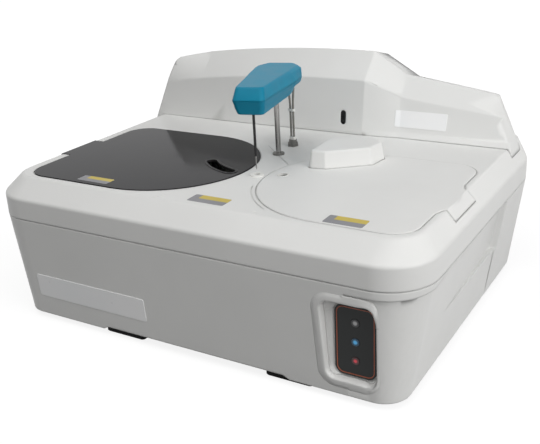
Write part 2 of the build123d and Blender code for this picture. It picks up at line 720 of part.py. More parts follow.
def gland_collar():
    """White guide on the gland's nose that the tubes slide through."""
    return tube_sleeve(DECK_Z + GLAND_NUT_H + GLAND_NOSE_H, COLLAR_H, TUBE_RUN)


# ---------------------------------------------------------------- wells and discs
def chamber(x):
    """Round well hung under the deck, with a hole for the spindle."""
    z = CHAMBER_Z
    cup = rod(x, WELL_Y, z, CHAMBER_R, CHAMBER_DEPTH)
    cup = cup - rod(x, WELL_Y, z + CHAMBER_WALL, CHAMBER_R - CHAMBER_WALL, CHAMBER_DEPTH)
    return cup - rod(x, WELL_Y, z - 1, SPINDLE_R + 1.0, 20)


SPINDLE_R = 8.0
SPINDLE_DEEP = 12.0       # how far a spindle reaches into its motor
MOTOR_R = 30.0
MOTOR_H = 44.0
DISC_FLOOR = CHAMBER_Z + CHAMBER_WALL + 6.0
DISC_R = WELL_R - 5.0
DISC_T = 4.0
HUB_R = 20.0
TUBE_OUTER_R = 6.5
TUBE_WALL = 1.0
TUBE_LEN = 75.0
TUBES = 12
BOTTLES = 12
BOTTLE_L = 44.0
BOTTLE_IN = 6.5           # edge of the disc to the bottles
BOTTLE_WIDE = 50.0
BOTTLE_NARROW = 34.0
BOTTLE_H = 68.0
NECK_R = 9.0
NECK_H = 12.0


def spindle(x, top):
    """Vertical drive spindle from the motor up through the disc, with a knurled knob."""
    foot = CHAMBER_Z - SPINDLE_DEEP
    shaft = rod(x, WELL_Y, foot, SPINDLE_R, top - foot)
    knob = extrude(Pos(x, WELL_Y, top) * (Circle(16) - Circle(12)), 3) + rod(x, WELL_Y, top - 8, 16, 8)
    return shaft + knob


def disc_motor(x):
    """Stepper under a well; the spindle turns in the bearing in its top."""
    body = rod(x, WELL_Y, CHAMBER_Z - MOTOR_H, MOTOR_R, MOTOR_H)
    foot = rod(x, WELL_Y, CHAMBER_Z - SPINDLE_DEEP - CLEAR, SPINDLE_R + SHAFT_RUN, 20)
    return body - foot


def reagent_rotor():
    """Carousel: floor disc, raised rack with tube holes, and an outer rim."""
    z = DISC_FLOOR
    floor = rod(REAGENT_X, WELL_Y, z, DISC_R, DISC_T)
    rim = ring(REAGENT_X, WELL_Y, z, DISC_R, DISC_R - 3, 22)
    rack_out = TUBE_RING_R + TUBE_OUTER_R + 4
    rack_in = TUBE_RING_R - TUBE_OUTER_R - 4
    rack = ring(REAGENT_X, WELL_Y, z + DISC_T, rack_out, rack_out - 3, 44)
    rack = rack + ring(REAGENT_X, WELL_Y, z + DISC_T, rack_in + 3, rack_in, 44)
    rack = rack + ring(REAGENT_X, WELL_Y, z + DISC_T + 44, rack_out, rack_in, 4)
    hub = rod(REAGENT_X, WELL_Y, z, HUB_R, 40)
    body = floor + rim + rack + hub - rod(REAGENT_X, WELL_Y, z - 1, SPINDLE_R, 60)
    for hole in around(rod(TUBE_RING_R, 0, z + DISC_T, TUBE_OUTER_R + 0.2, 60), REAGENT_X, WELL_Y,
                       TUBES, TUBE_PHASE):
        body = body - hole
    return body


def sample_tubes():
    z = DISC_FLOOR + DISC_T
    tube = rod(TUBE_RING_R, 0, z, TUBE_OUTER_R, TUBE_LEN)
    tube = tube - rod(TUBE_RING_R, 0, z + 2, TUBE_OUTER_R - TUBE_WALL, TUBE_LEN)
    return Compound(children=around(tube, REAGENT_X, WELL_Y, TUBES, TUBE_PHASE))


def bottle():
    """Wedge-shaped reagent bottle with a round open neck near its outer end."""
    z = DISC_FLOOR + DISC_T
    outer = DISC_R - BOTTLE_IN
    points = [(outer - BOTTLE_L, -BOTTLE_NARROW / 2), (outer, -BOTTLE_WIDE / 2),
              (outer, BOTTLE_WIDE / 2), (outer - BOTTLE_L, BOTTLE_NARROW / 2)]
    outline = chamfer(make_face(Polyline(*points, close=True)).vertices(), 4)
    body = extrude(Pos(0, 0, z) * outline, BOTTLE_H)
    body = chamfer(body.faces().sort_by(Axis.Z)[-1].edges(), 3)
    body = body + rod(NECK_RING_R, 0, z + BOTTLE_H, NECK_R, NECK_H)
    return body - rod(NECK_RING_R, 0, z + 8, NECK_R - 2, BOTTLE_H + NECK_H)


def bottle_ring():
    """All bottles, the first one in the needle's reach."""
    phase = math.degrees(math.atan2(BOTTLE_Y - WELL_Y, BOTTLE_X - REAGENT_X))
    return around(bottle(), REAGENT_X, WELL_Y, BOTTLES, phase)


def bottle_in_use():
    return bottle_ring()[0]


def reagent_bottles():
    return Compound(children=bottle_ring()[1:])


CUVETTES = 36
CUVETTE_SIDE = 7.0
CUVETTE_RING = 8.5        # half the width of the cuvette ring
CUVETTE_H = 36.0
CUVETTE_TOP = DECK_UNDER - 9.0


def reaction_rotor():
    """Spoked disc that carries the cuvette ring on its rim."""
    z = CUVETTE_TOP - CUVETTE_H - 5
    rim = ring(REACTION_X, WELL_Y, z, CUVETTE_R + CUVETTE_RING, CUVETTE_R - CUVETTE_RING - 6, 5)
    hub = rod(REACTION_X, WELL_Y, z - 10, HUB_R, 30)
    body = rim + hub
    reach = CUVETTE_R - CUVETTE_RING
    for spoke in around(block(HUB_R - 4, reach, -9, 9, z, z + 5), REACTION_X, WELL_Y, 6):
        body = body + spoke
    return body - rod(REACTION_X, WELL_Y, z - 11, SPINDLE_R, 60)


def cuvette_ring():
    z = CUVETTE_TOP - CUVETTE_H
    body = ring(REACTION_X, WELL_Y, z, CUVETTE_R + CUVETTE_RING, CUVETTE_R - CUVETTE_RING, CUVETTE_H)
    half = CUVETTE_SIDE / 2
    cell = block(CUVETTE_R - half, CUVETTE_R + half, -half, half, z + 2, CUVETTE_TOP + 1)
    for hole in around(cell, REACTION_X, WELL_Y, CUVETTES, CUVETTE_PHASE):
        body = body - hole
    return body


# ---------------------------------------------------------------- arm
# Half outlines as (distance along the arm, half width), from the nose to the rear.
ARM_BOTTOM = [(137, 24), (60, 29), (-12, 34), (-42, 32), (-60, 19)]
ARM_MID = [(142, 27), (60, 33), (-15, 39), (-52, 36), (-72, 21)]
ARM_SKIRT = [(143, 27.5), (60, 34), (-15, 43), (-60, 45), (-88, 28)]
ARM_WIDEST = [(147, 29), (60, 38), (-15, 47), (-62, 47), (-90, 30)]
ARM_BROW = [(137, 26), (60, 33), (-8, 41), (-62, 46), (-88, 32)]
ARM_ROOF = [(134, 25), (60, 31), (0, 36), (-58, 38), (-84, 24)]
ARM_EDGE = 9.0
ARM_MID_H = 12.0          # underside to the step under the rear overhang
ARM_SKIRT_H = 17.0
ARM_BROW_H = 43.0


def arm_outline(half, z, inset=0.0):
    """A closed outline of the arm covers at height z, with their middle line beside the needle."""
    points = [(a, w) for a, w in half] + [(a, -w) for a, w in reversed(half)]
    outline = fillet(make_face(Polyline(*points, close=True)).vertices(), ARM_EDGE)
    if inset:
        outline = offset(outline, -inset)
    outline = Pos(-PROBE_R, -ARM_OFFSET) * outline
    return Pos(NEEDLE_X, NEEDLE_Y, z) * Rot(0, 0, REST_ANGLE + ARM_SKEW) * outline


def stack(levels, inset=0.0):
    form = None
    for (low, z0), (high, z1) in zip(levels, levels[1:]):
        part = loft([arm_outline(low, z0, inset), arm_outline(high, z1, inset)], ruled=True)
        form = part if form is None else form + part
    return form


def arm_lower_cover():
    upper = [(ARM_MID, ARM_Z + ARM_MID_H), (ARM_SKIRT, ARM_Z + ARM_SKIRT_H), (ARM_WIDEST, RIDGE_Z)]
    shell = stack([(ARM_BOTTOM, ARM_Z)] + upper)
    inside = stack([(ARM_BOTTOM, ARM_Z + ARM_WALL)] + upper, ARM_WALL)
    shell = shell - inside
    for x, y, radius in [(SHAFT_X, SHAFT_Y, SHAFT_R + 0.2), (NEEDLE_X, NEEDLE_Y, SLEEVE_R + 0.1)]:
        shell = shell - rod(x, y, ARM_Z - 1, radius, 8)
    return shell - tube_entry()


def tube_entry():
    """Hole in the arm's underside over the splayed ends of the tubes."""
    width = TUBE_PITCH + 2 * (TUBE_R + TUBE_SPLAY) + 1.5
    return extrude(Pos(GLAND_X, GLAND_Y, ARM_Z - 1) * SlotOverall(width, 2 * TUBE_R + 1.5), 8)


def arm_upper_cover():
    lower = [(ARM_WIDEST, RIDGE_Z), (ARM_BROW, ARM_Z + ARM_BROW_H)]
    shell = stack(lower + [(ARM_ROOF, ARM_TOP)])
    shell = chamfer(shell.faces().sort_by(Axis.Z)[-1].edges(), 1.5)
    return shell - stack([(ARM_WIDEST, RIDGE_Z), (ARM_ROOF, ARM_TOP - ARM_WALL)], ARM_WALL)


CHASSIS_T = 3.0


def arm_chassis():
    """Metal bar inside the arm that clamps the shaft and carries the probe."""
    bar = Pos(SHAFT_X, SHAFT_Y, ARM_Z + ARM_WALL) * Rot(0, 0, REST_ANGLE) * block(
        -34, PROBE_R - 9, -14, 14, 0, CHASSIS_T)
    clamp = rod(SHAFT_X, SHAFT_Y, ARM_Z + ARM_WALL, 12, 18)
    return bar + clamp - rod(SHAFT_X, SHAFT_Y, ARM_Z, SHAFT_R, 60)


def arm_shaft():
    top = ARM_Z + ARM_WALL + 20
    return rod(SHAFT_X, SHAFT_Y, SHAFT_FOOT, SHAFT_R, top - SHAFT_FOOT)


def probe_holder():
    """Stepped block on the end of the bar, with the sleeve pressed through its nose."""
    place = Pos(SHAFT_X, SHAFT_Y, ARM_Z + ARM_WALL + CHASSIS_T) * Rot(0, 0, REST_ANGLE)
    body = place * (block(PROBE_R - 26, PROBE_R - 10, -9, 9, 0, 20)
                    + block(PROBE_R - 10, PROBE_R + 4.5, -7, 7, 9, 20))
    return body - rod(NEEDLE_X, NEEDLE_Y, ARM_Z, SLEEVE_R, 60)


def probe_sleeve():
    foot = DECK_Z + NEEDLE_TIP + NEEDLE_BARE
    top = ARM_Z + ARM_WALL + 26
    body = rod(NEEDLE_X, NEEDLE_Y, foot, SLEEVE_R, top - foot)
    return body - rod(NEEDLE_X, NEEDLE_Y, foot - 1, NEEDLE_R, top - foot + 2)


def needle():
    tip = DECK_Z + NEEDLE_TIP
    top = ARM_Z + ARM_WALL + 30
    point = Pos(NEEDLE_X, NEEDLE_Y, tip + 1.5) * Cone(0.4, NEEDLE_R, 3.0)
    return rod(NEEDLE_X, NEEDLE_Y, tip + 3, NEEDLE_R, top - tip - 3) + point


# ---------------------------------------------------------------- lift
RAIL_Y = SHAFT_Y + 22.0
RAIL_W = 30.0
RAIL_T = 6.0
CARRIAGE_W = 44.0
CARRIAGE_H = 40.0
CARRIAGE_TOP = SHAFT_FOOT + CARRIAGE_H + 4.0
RAIL_RUN = 0.25


def lift_rail():
    """Upright guide from the tray to the deck, behind the shaft."""
    rail = block(SHAFT_X - RAIL_W / 2, SHAFT_X + RAIL_W / 2, RAIL_Y, RAIL_Y + RAIL_T, FLOOR_Z, DECK_UNDER)
    foot = block(SHAFT_X - RAIL_W / 2, SHAFT_X + RAIL_W / 2, RAIL_Y - 20, RAIL_Y + 26, FLOOR_Z, FLOOR_Z + 5)
    return rail + foot


def lift_carriage():
    """Block that slides on the rail and holds the turning shaft in two bearings."""
    z0 = CARRIAGE_TOP - CARRIAGE_H
    front = SHAFT_Y - 15.0
    body = block(SHAFT_X - CARRIAGE_W / 2, SHAFT_X + CARRIAGE_W / 2, front, RAIL_Y + RAIL_T + 5,
                 z0, CARRIAGE_TOP)
    gap = block(SHAFT_X - RAIL_W / 2 - RAIL_RUN, SHAFT_X + RAIL_W / 2 + RAIL_RUN,
                RAIL_Y - RAIL_RUN, RAIL_Y + RAIL_T + RAIL_RUN, z0 - 1, CARRIAGE_TOP + 1)
    return body - gap - rod(SHAFT_X, SHAFT_Y, z0 - 1, SHAFT_R + SHAFT_RUN, CARRIAGE_H + 2)


def swing_motor():
    """Stepper under the carriage; its bearing takes the foot of the shaft."""
    z1 = CARRIAGE_TOP - CARRIAGE_H
    body = block(SHAFT_X - 17.5, SHAFT_X + 17.5, SHAFT_Y - 14, SHAFT_Y + 20, z1 - 34, z1)
    return body - rod(SHAFT_X, SHAFT_Y, SHAFT_FOOT - CLEAR, SHAFT_R + SHAFT_RUN, 20)


def tube_anchor():
    """Clamp on the back of the carriage that holds the foot of the arm tubes."""
    y0 = RAIL_Y + RAIL_T + 5
    z0 = TUBE_FOOT - 2
    body = block(GLAND_X - 10, GLAND_X + 10, y0, GLAND_Y + 8, z0, z0 + 14)
    for side in (-1, 1):
        body = body - rod(GLAND_X + side * TUBE_PITCH / 2, GLAND_Y, TUBE_FOOT, TUBE_R, 40)
    return body


# ---------------------------------------------------------------- switch panel
def on_panel(sketch, depth, out=0.0):
    """Extrude a panel sketch inwards from a plane that stands out of the panel face."""
    plane = Plane((SWITCH_X, SWITCH_Y - PANEL_T - out, PANEL_MID_Z), x_dir=(1, 0, 0), z_dir=(0, -1, 0))
    return extrude(plane * sketch, -depth)


TRIM_IN = 3.0
TRIM_W = 1.6
TRIM_PROUD = 0.4


def trim_sketch(clear=0.0):
    outer = RectangleRounded(SWITCH_W - 2 * TRIM_IN, SWITCH_H - 2 * TRIM_IN, SWITCH_R - TRIM_IN)
    inner_in = 2 * (TRIM_IN + TRIM_W)
    return outer - RectangleRounded(SWITCH_W - inner_in, SWITCH_H - inner_in, SWITCH_R - TRIM_IN - TRIM_W)


def switch_panel():
    body = on_panel(RectangleRounded(SWITCH_W, SWITCH_H, SWITCH_R), PANEL_T)
    body = body - on_panel(trim_sketch(), 1.0)
    for offset_z in BUTTON_OFFSETS:
        body = body - on_panel(Pos(0, offset_z) * Circle(BUTTON_R + CLEAR), PANEL_T)
    return body


def panel_trim():
    return on_panel(trim_sketch(), 1.0 + TRIM_PROUD, TRIM_PROUD)


def button(index):
    """Round key: a cap in the panel hole and a wider skirt behind the panel."""
    centre = Pos(0, BUTTON_OFFSETS[index])
    cap = on_panel(centre * Circle(BUTTON_R), PANEL_T + BUTTON_PROUD + CLEAR, BUTTON_PROUD)
    skirt = on_panel(centre * Circle(BUTTON_R + 2), BUTTON_SKIRT, -PANEL_T - CLEAR)
    return cap + skirt


def button_board():
    """Circuit board on the back of the pocket wall, just behind the keys' travel."""
    y0 = SWITCH_Y + BASE_WALL
    half_h = BUTTON_PITCH + BUTTON_R + 12
    return block(SWITCH_X - 20, SWITCH_X + 20, y0, y0 + BOARD_T, PANEL_MID_Z - half_h, PANEL_MID_Z + half_h)


# ---------------------------------------------------------------- rear panel
PANEL_Z0 = BASE_Z + REAR_PANEL_Z
PANEL_Z1 = PANEL_Z0 + REAR_PANEL_H
PAN_Y = REAR - BASE_WALL - REAR_PANEL_DEPTH       # inner face of the recessed floor
FAN_X = -170.0
FAN_R = 40.0
FAN_SIDE = 92.0
FAN_T = 25.0
FAN_STUB = 3.0
GUARD_RINGS = (12.0, 24.0, 36.0)
INLET_X = 190.0
INLET_W = 48.0
INLET_H = 30.0
ROCKER_PITCH = 52.0       # inlet to rocker
ROCKER_X = INLET_X - ROCKER_PITCH
HOSES_X = [20.0, 50.0, 80.0]
HOSE_R = 5.0
BARB_R = 4.2
REAR_MID_Z = (PANEL_Z0 + PANEL_Z1) / 2
INLET_Z = REAR_MID_Z - 20.0
DATA_Z = INLET_Z + 42.0
DATA_W = 16.0
VENTS = 10
VENT_PITCH = 9.0
VENT_X = -40.0


def rear_panel():
    """Sheet pan set into the rear wall: flange inside the wall, recessed floor with cut-outs."""
    half_w = REAR_PANEL_W / 2
    wall_y = REAR - BASE_WALL
    pan = block(-half_w, half_w, PAN_Y, wall_y, PANEL_Z0, PANEL_Z1)
    pan = pan - block(-half_w + SHEET_T, half_w - SHEET_T, PAN_Y + SHEET_T, REAR + 1,
                      PANEL_Z0 + SHEET_T, PANEL_Z1 - SHEET_T)
    flange = block(-half_w - REAR_FLANGE, half_w + REAR_FLANGE, wall_y - SHEET_T, wall_y,
                   PANEL_Z0 - REAR_FLANGE, PANEL_Z1 + REAR_FLANGE)
    pan = pan + (flange - block(-half_w, half_w, wall_y - 5, REAR, PANEL_Z0, PANEL_Z1))
    pan = pan - across(FAN_X, REAR_MID_Z, FAN_R)
    pan = pan - through(INLET_X, INLET_Z, INLET_W - 8, INLET_H - 6) - through(ROCKER_X, INLET_Z, 14, 22)
    pan = pan - through(INLET_X, DATA_Z, DATA_W, DATA_W)
    for x in HOSES_X:
        pan = pan - across(x, INLET_Z, HOSE_R)
    for index in range(VENTS):
        z = REAR_MID_Z + VENT_PITCH * (index - (VENTS - 1) / 2)
        pan = pan - through(VENT_X, z, 90, 4)
    return pan


def across(x, z, radius):
    """A round cutter through the recessed floor of the rear panel."""
    plane = Plane((x, PAN_Y - 5, z), x_dir=(1, 0, 0), z_dir=(0, 1, 0))
    return extrude(plane * Circle(radius), 12)


def through(x, z, width, height):
    return block(x - width / 2, x + width / 2, PAN_Y - 5, PAN_Y + 7, z - height / 2, z + height / 2)


def along_y(x, z, y0, y1, sketch):
    plane = Plane((x, y0, z), x_dir=(1, 0, 0), z_dir=(0, 1, 0))
    return extrude(plane * sketch, y1 - y0)


def fan_frame():
    half = FAN_SIDE / 2
    body = block(FAN_X - half, FAN_X + half, PAN_Y - FAN_T, PAN_Y, REAR_MID_Z - half, REAR_MID_Z + half)
    body = body - along_y(FAN_X, REAR_MID_Z, PAN_Y - FAN_T + 3, PAN_Y + 1, Circle(FAN_R + 2))
    window = Circle(FAN_R) - Circle(18)
    strut = Rectangle(5, 2 * FAN_R + 10)
    window = window - strut - Rot(0, 0, 90) * strut
    body = body - along_y(FAN_X, REAR_MID_Z, PAN_Y - FAN_T - 1, PAN_Y - FAN_T + 4, window)
    return body - along_y(FAN_X, REAR_MID_Z, PAN_Y - FAN_T + 1, PAN_Y, Circle(FAN_STUB + SHAFT_RUN))


def fan_rotor():
    """Hub with seven pitched blades on a stub shaft in the frame's bearing."""
    y0 = PAN_Y - FAN_T + 5
    y1 = PAN_Y - 2
    hub = along_y(FAN_X, REAR_MID_Z, y0, y1, Circle(15))
    stub = along_y(FAN_X, REAR_MID_Z, PAN_Y - FAN_T + 1.0 + CLEAR, y0, Circle(FAN_STUB))
    rotor = hub + stub
    middle = (y0 + y1) / 2
    for index in range(7):
        blade = Box(24, 1.6, 17)
        blade = Pos(13.5 + 12, 0, 0) * Rot(38, 0, 0) * blade
        turn = Rot(0, 360.0 * index / 7, 0)
        rotor = rotor + Pos(FAN_X, middle, REAR_MID_Z) * turn * blade
    return rotor


def fan_guard():
    """Wire guard: rings on crossed bars, on the outside of the fan opening."""
    y0 = PAN_Y + SHEET_T
    rings = None
    for radius in GUARD_RINGS:
        wire = along_y(FAN_X, REAR_MID_Z, y0 + 1.0, y0 + 3.0, Circle(radius + 1) - Circle(radius - 1))
        rings = wire if rings is None else rings + wire
    for turn in (45, 135):
        bar = along_y(FAN_X, REAR_MID_Z, y0, y0 + 1.6, Rot(0, 0, turn) * Rectangle(2 * FAN_R + 12, 3))
        rings = rings + bar
    return rings


def power_inlet():
    y0 = PAN_Y + SHEET_T
    flange = along_y(INLET_X, INLET_Z, y0, y0 + 3, RectangleRounded(INLET_W, INLET_H, 4))
    body = block(INLET_X - (INLET_W - 8) / 2, INLET_X + (INLET_W - 8) / 2, PAN_Y - 20, y0,
                 INLET_Z - (INLET_H - 6) / 2, INLET_Z + (INLET_H - 6) / 2)
    socket = along_y(INLET_X, INLET_Z, PAN_Y - 14, y0 + 4, RectangleRounded(26, 18, 3))
    body = flange + body - socket
    for dx, dz in ((-7, -2), (0, 3), (7, -2)):
        pin = block(INLET_X + dx - 1, INLET_X + dx + 1, PAN_Y - 14, PAN_Y - 1,
                    INLET_Z + dz - 2, INLET_Z + dz + 2)
        body = body + pin
    return body


ROCKER_W = 10.4
ROCKER_AXIS_IN = 3.0      # face of the panel to the pin
ROCKER_TILT = 6.0         # at rest, one end pressed


def rocker_bezel():
    y0 = PAN_Y + SHEET_T
    outer = along_y(ROCKER_X, INLET_Z, y0, y0 + 2, RectangleRounded(20, 28, 2))
    sleeve = block(ROCKER_X - 7, ROCKER_X + 7, PAN_Y - 16, y0, INLET_Z - 11, INLET_Z + 11)
    half_w = ROCKER_W / 2 + CLEAR
    hole = block(ROCKER_X - half_w, ROCKER_X + half_w, PAN_Y - 13, y0 + 3, INLET_Z - 10, INLET_Z + 10)
    return outer + sleeve - hole


def rocker():
    """Rocker key on a cross pin: a round-backed block with a notched face."""
    plane = Plane((ROCKER_X - ROCKER_W / 2, PAN_Y + SHEET_T - ROCKER_AXIS_IN, INLET_Z),
                  x_dir=(0, 1, 0), z_dir=(1, 0, 0))
    points = [(6.8, 8.2), (4.2, 0), (6.8, -8.2), (2.0, -8.6), (-3.0, -5.0), (-3.0, 5.0), (2.0, 8.6)]
    return extrude(plane * Rot(0, 0, ROCKER_TILT) * make_face(Polyline(*points, close=True)), ROCKER_W)


def hose_fittings():
    """Three barbed hose tails with hexagon bodies."""
    y0 = PAN_Y + SHEET_T
    tails = []
    for x in HOSES_X:
        body = along_y(x, INLET_Z, PAN_Y - 8, y0, Circle(HOSE_R))
        body = body + along_y(x, INLET_Z, y0, y0 + 5, RegularPolygon(8, 6))
        profile = [(0, y0 + 5)]
        for step in range(3):
            start = y0 + 5 + 4.5 * step
            profile += [(BARB_R - 1, start), (BARB_R, start + 1.5)]
        profile += [(BARB_R - 1, y0 + 19), (0, y0 + 19)]
        barbs = revolve(make_face(Polyline(*profile, close=True)), Axis.Y)
        body = body + Pos(x, 0, INLET_Z) * barbs
        tails.append(body - along_y(x, INLET_Z, PAN_Y - 9, y0 + 20, Circle(1.8)))
    return Compound(children=tails)


def data_port():
    """Square communication socket above the power inlet."""
    y0 = PAN_Y + SHEET_T
    flange = along_y(INLET_X, DATA_Z, y0, y0 + 2, RectangleRounded(24, 20, 2))
    body = along_y(INLET_X, DATA_Z, PAN_Y - 12, y0, Rectangle(DATA_W, DATA_W))
    return flange + body - along_y(INLET_X, DATA_Z, PAN_Y - 10, y0 + 3, Rectangle(12, 11))


# ---------------------------------------------------------------- inside the base
def power_supply():
    """Enclosed supply on the tray, with a ridged lid."""
    x0, x1 = WELLS_X + 60, WELLS_X + 220
    y0, y1 = REAR - 172, REAR - 72
    body = block(x0, x1, y0, y1, FLOOR_Z, FLOOR_Z + 42)
    for index in range(8):
        x = x0 + 12 + 18 * index
        body = body - block(x, x + 8, y0 + 8, y1 - 8, FLOOR_Z + 41, FLOOR_Z + 43)
    return body


def main_board():
    """Control board on four stand-offs."""
    x0, x1 = WELLS_X - 260, WELLS_X - 60
    y0, y1 = REAR - 202, REAR - 82
    body = block(x0, x1, y0, y1, FLOOR_Z + 10, FLOOR_Z + 10 + BOARD_T)
    for x in (x0 + 8, x1 - 8):
        for y in (y0 + 8, y1 - 8):
            body = body + rod(x, y, FLOOR_Z, 3.5, 10)
    for x, y, w, d, h in [(40, 30, 34, 34, 3), (110, 40, 60, 14, 9), (110, 80, 22, 22, 3),
                          (30, 85, 14, 24, 16), (170, 85, 18, 30, 12)]:
        body = body + block(x0 + x, x0 + x + w, y0 + y, y0 + y + d, FLOOR_Z + 10, FLOOR_Z + 10 + BOARD_T + h)
    return body


def syringe_pump():
    """Metering pump: motor, screw frame and glass barrel on a bracket."""
    x, y = WELLS_X + 10, REAR - 172
    frame = block(x - 22, x + 22, y, y + 8, FLOOR_Z, FLOOR_Z + 150)
    foot = block(x - 22, x + 22, y - 34, y + 8, FLOOR_Z, FLOOR_Z + 5)
    motor = block(x - 20, x + 20, y - 34, y, FLOOR_Z + 5, FLOOR_Z + 40)
    barrel = rod(x, y - 14, FLOOR_Z + 84, 7, 56)
    arms = block(x - 14, x + 14, y - 24, y, FLOOR_Z + 76, FLOOR_Z + 84)
    arms = arms + block(x - 14, x + 14, y - 24, y, FLOOR_Z + 138, FLOOR_Z + 146)
    return frame + foot + motor + barrel + arms


def photometer():
    """Lamp and detector block under the optics cover, on the deck."""
    place = Pos(WELLS_X + 123, WELL_Y + 122, DECK_Z) * Rot(0, 0, 37.6)
    return place * (block(-31, 31, -20, 20, 0, 22) + block(-15, 15, -12, 12, 22, 26))


# ---------------------------------------------------------------- write the pieces
PIECES = {
    "base_shell": base_shell,
    "bottom_tray": bottom_tray,
    "feet": feet,
    "top_cover": top_cover,
    "hood": hood,
    "hood_window": hood_window,
    "optics_cover": optics_cover,
    "photometer": photometer,
    "screw_caps": screw_caps,
    "wash_well": wash_well,
    "shaft_bush": shaft_bush,
    "tube_gland": tube_gland,
    "reagent_chamber": lambda: chamber(REAGENT_X),
    "reaction_chamber": lambda: chamber(REACTION_X),
    "reagent_motor": lambda: disc_motor(REAGENT_X),
    "reaction_motor": lambda: disc_motor(REACTION_X),
    "reagent_lid": reagent_lid,
    "slot_rim": slot_rim,
    "reaction_lid": reaction_lid,
    "port_ring": port_ring,
    "reagent_rotor": reagent_rotor,
    "reagent_spindle": lambda: spindle(REAGENT_X, DISC_FLOOR + 60),
    "reagent_bottles": reagent_bottles,
    "bottle_in_use": bottle_in_use,
    "sample_tubes": sample_tubes,
    "reaction_rotor": reaction_rotor,
    "reaction_spindle": lambda: spindle(REACTION_X, CUVETTE_TOP - 12),
    "cuvette_ring": cuvette_ring,
    "arm_lower_cover": arm_lower_cover,
    "arm_upper_cover": arm_upper_cover,
    "arm_chassis": arm_chassis,
    "arm_shaft": arm_shaft,
    "probe_holder": probe_holder,
    "probe_sleeve": probe_sleeve,
    "needle": needle,
    "arm_tubes": arm_tubes,
    "tube_clip": tube_clip,
    "gland_collar": gland_collar,
    "tube_anchor": tube_anchor,
    "lift_rail": lift_rail,
    "lift_carriage": lift_carriage,
    "swing_motor": swing_motor,
    "switch_panel": switch_panel,
    "panel_trim": panel_trim,
    "button_upper": lambda: button(0),
    "button_middle": lambda: button(1),
    "button_lower": lambda: button(2),
    "button_board": button_board,
    "rear_panel": rear_panel,
    "fan_frame": fan_frame,
    "fan_rotor": fan_rotor,
    "fan_guard": fan_guard,
    "power_inlet": power_inlet,
    "rocker_bezel": rocker_bezel,
    "rocker": rocker,
    "hose_fittings": hose_fittings,
    "data_port": data_port,
    "power_supply": power_supply,
    "main_board": main_board,
    "syringe_pump": syringe_pump,
}

for name, make in PIECES.items():
    export_step(make(), f"parts/{name}.step")
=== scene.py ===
# %% [markdown]
# # A benchtop chemistry analyzer
#
# The machine stands on a lab bench and measures samples by itself. A smoked lid on the left
# covers the reagent bottles, a pale lid on the right covers the reaction disc, and a blue arm
# carries a needle between them. The solid model gives every piece its place and size, so this
# lesson only adds what the eye meets: moulded plastic, smoked acrylic, brushed metal, the bare
# plates and the soft light of a studio.

# %% Load the frame
import math

import bmesh
import bpy
import numpy as np
from mathutils import Matrix, Vector
from mathutils.bvhtree import BVHTree


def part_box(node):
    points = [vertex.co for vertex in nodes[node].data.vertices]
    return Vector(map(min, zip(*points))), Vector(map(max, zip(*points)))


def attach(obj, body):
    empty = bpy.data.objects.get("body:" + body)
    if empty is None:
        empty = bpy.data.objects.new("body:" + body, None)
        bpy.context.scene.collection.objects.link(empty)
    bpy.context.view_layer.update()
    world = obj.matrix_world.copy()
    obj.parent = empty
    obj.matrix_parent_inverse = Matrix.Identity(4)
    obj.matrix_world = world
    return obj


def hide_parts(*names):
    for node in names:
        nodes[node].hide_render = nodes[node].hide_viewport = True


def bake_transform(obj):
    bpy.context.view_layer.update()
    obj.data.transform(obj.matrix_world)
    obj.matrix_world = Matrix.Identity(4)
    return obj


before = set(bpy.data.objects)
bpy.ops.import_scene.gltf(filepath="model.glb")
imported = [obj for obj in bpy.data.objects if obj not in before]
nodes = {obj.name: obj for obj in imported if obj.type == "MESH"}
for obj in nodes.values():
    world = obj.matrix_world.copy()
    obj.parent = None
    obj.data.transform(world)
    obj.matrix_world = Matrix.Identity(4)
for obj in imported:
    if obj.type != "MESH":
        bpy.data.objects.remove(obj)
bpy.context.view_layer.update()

# %% [markdown]
# ## The camera
#
# The photograph looks down on the machine from its right, with a short telephoto lens and a
# slight tilt. The camera is written as a place and three angles, which is how a photographer
# would note it down, and its axes are worked out from them.

# %% Camera
MM = 0.001
CAMERA_AT = Vector((0.7868, -1.2927, 0.7485))
TURN, TILT, ROLL = (math.radians(a) for a in (31.5, 21.8, -3.0))
LENS_MM = 54.6

forward = Vector((-math.sin(TURN) * math.cos(TILT), math.cos(TURN) * math.cos(TILT), -math.sin(TILT)))
level = forward.cross(Vector((0, 0, 1))).normalized()
upright = level.cross(forward)
right = level * math.cos(ROLL) + upright * math.sin(ROLL)
up = upright * math.cos(ROLL) - level * math.sin(ROLL)

camera = bpy.data.objects.new("camera", bpy.data.cameras.new("camera"))
camera.data.lens = LENS_MM
camera.matrix_world = Matrix.Translation(CAMERA_AT) @ Matrix((right, up, -forward)).transposed().to_4x4()
bpy.context.scene.collection.objects.link(camera)
bpy.context.scene.camera = camera
print("camera", [round(v, 3) for v in camera.location], "lens", LENS_MM)

# %% [markdown]
# ## Shader maths in Python
#
# Materials read better as expressions than as lists of links. `Field` wraps one output socket:
# `field * 0.2 + 0.4` adds the two Math nodes that do it. `Finish` is a material around one
# Principled shader. What stays the same all over goes straight onto the shader's own sockets,
# and only what varies is linked.

# %% A socket with operators
class Field:
    """One output socket of a material. Arithmetic on it adds Math nodes."""

    def __init__(self, finish, socket):
        self.finish = finish
        self.socket = socket

    def maths(self, operation, a, b):
        return self.finish.add("ShaderNodeMath", {"operation": operation}, {0: a, 1: b})

    def __add__(self, other):
        return self.maths("ADD", self, other)

    def __mul__(self, other):
        return self.maths("MULTIPLY", self, other)

    def __sub__(self, other):
        return self.maths("SUBTRACT", self, other)

    def __rsub__(self, other):
        return self.maths("SUBTRACT", other, self)

    __radd__ = __add__
    __rmul__ = __mul__


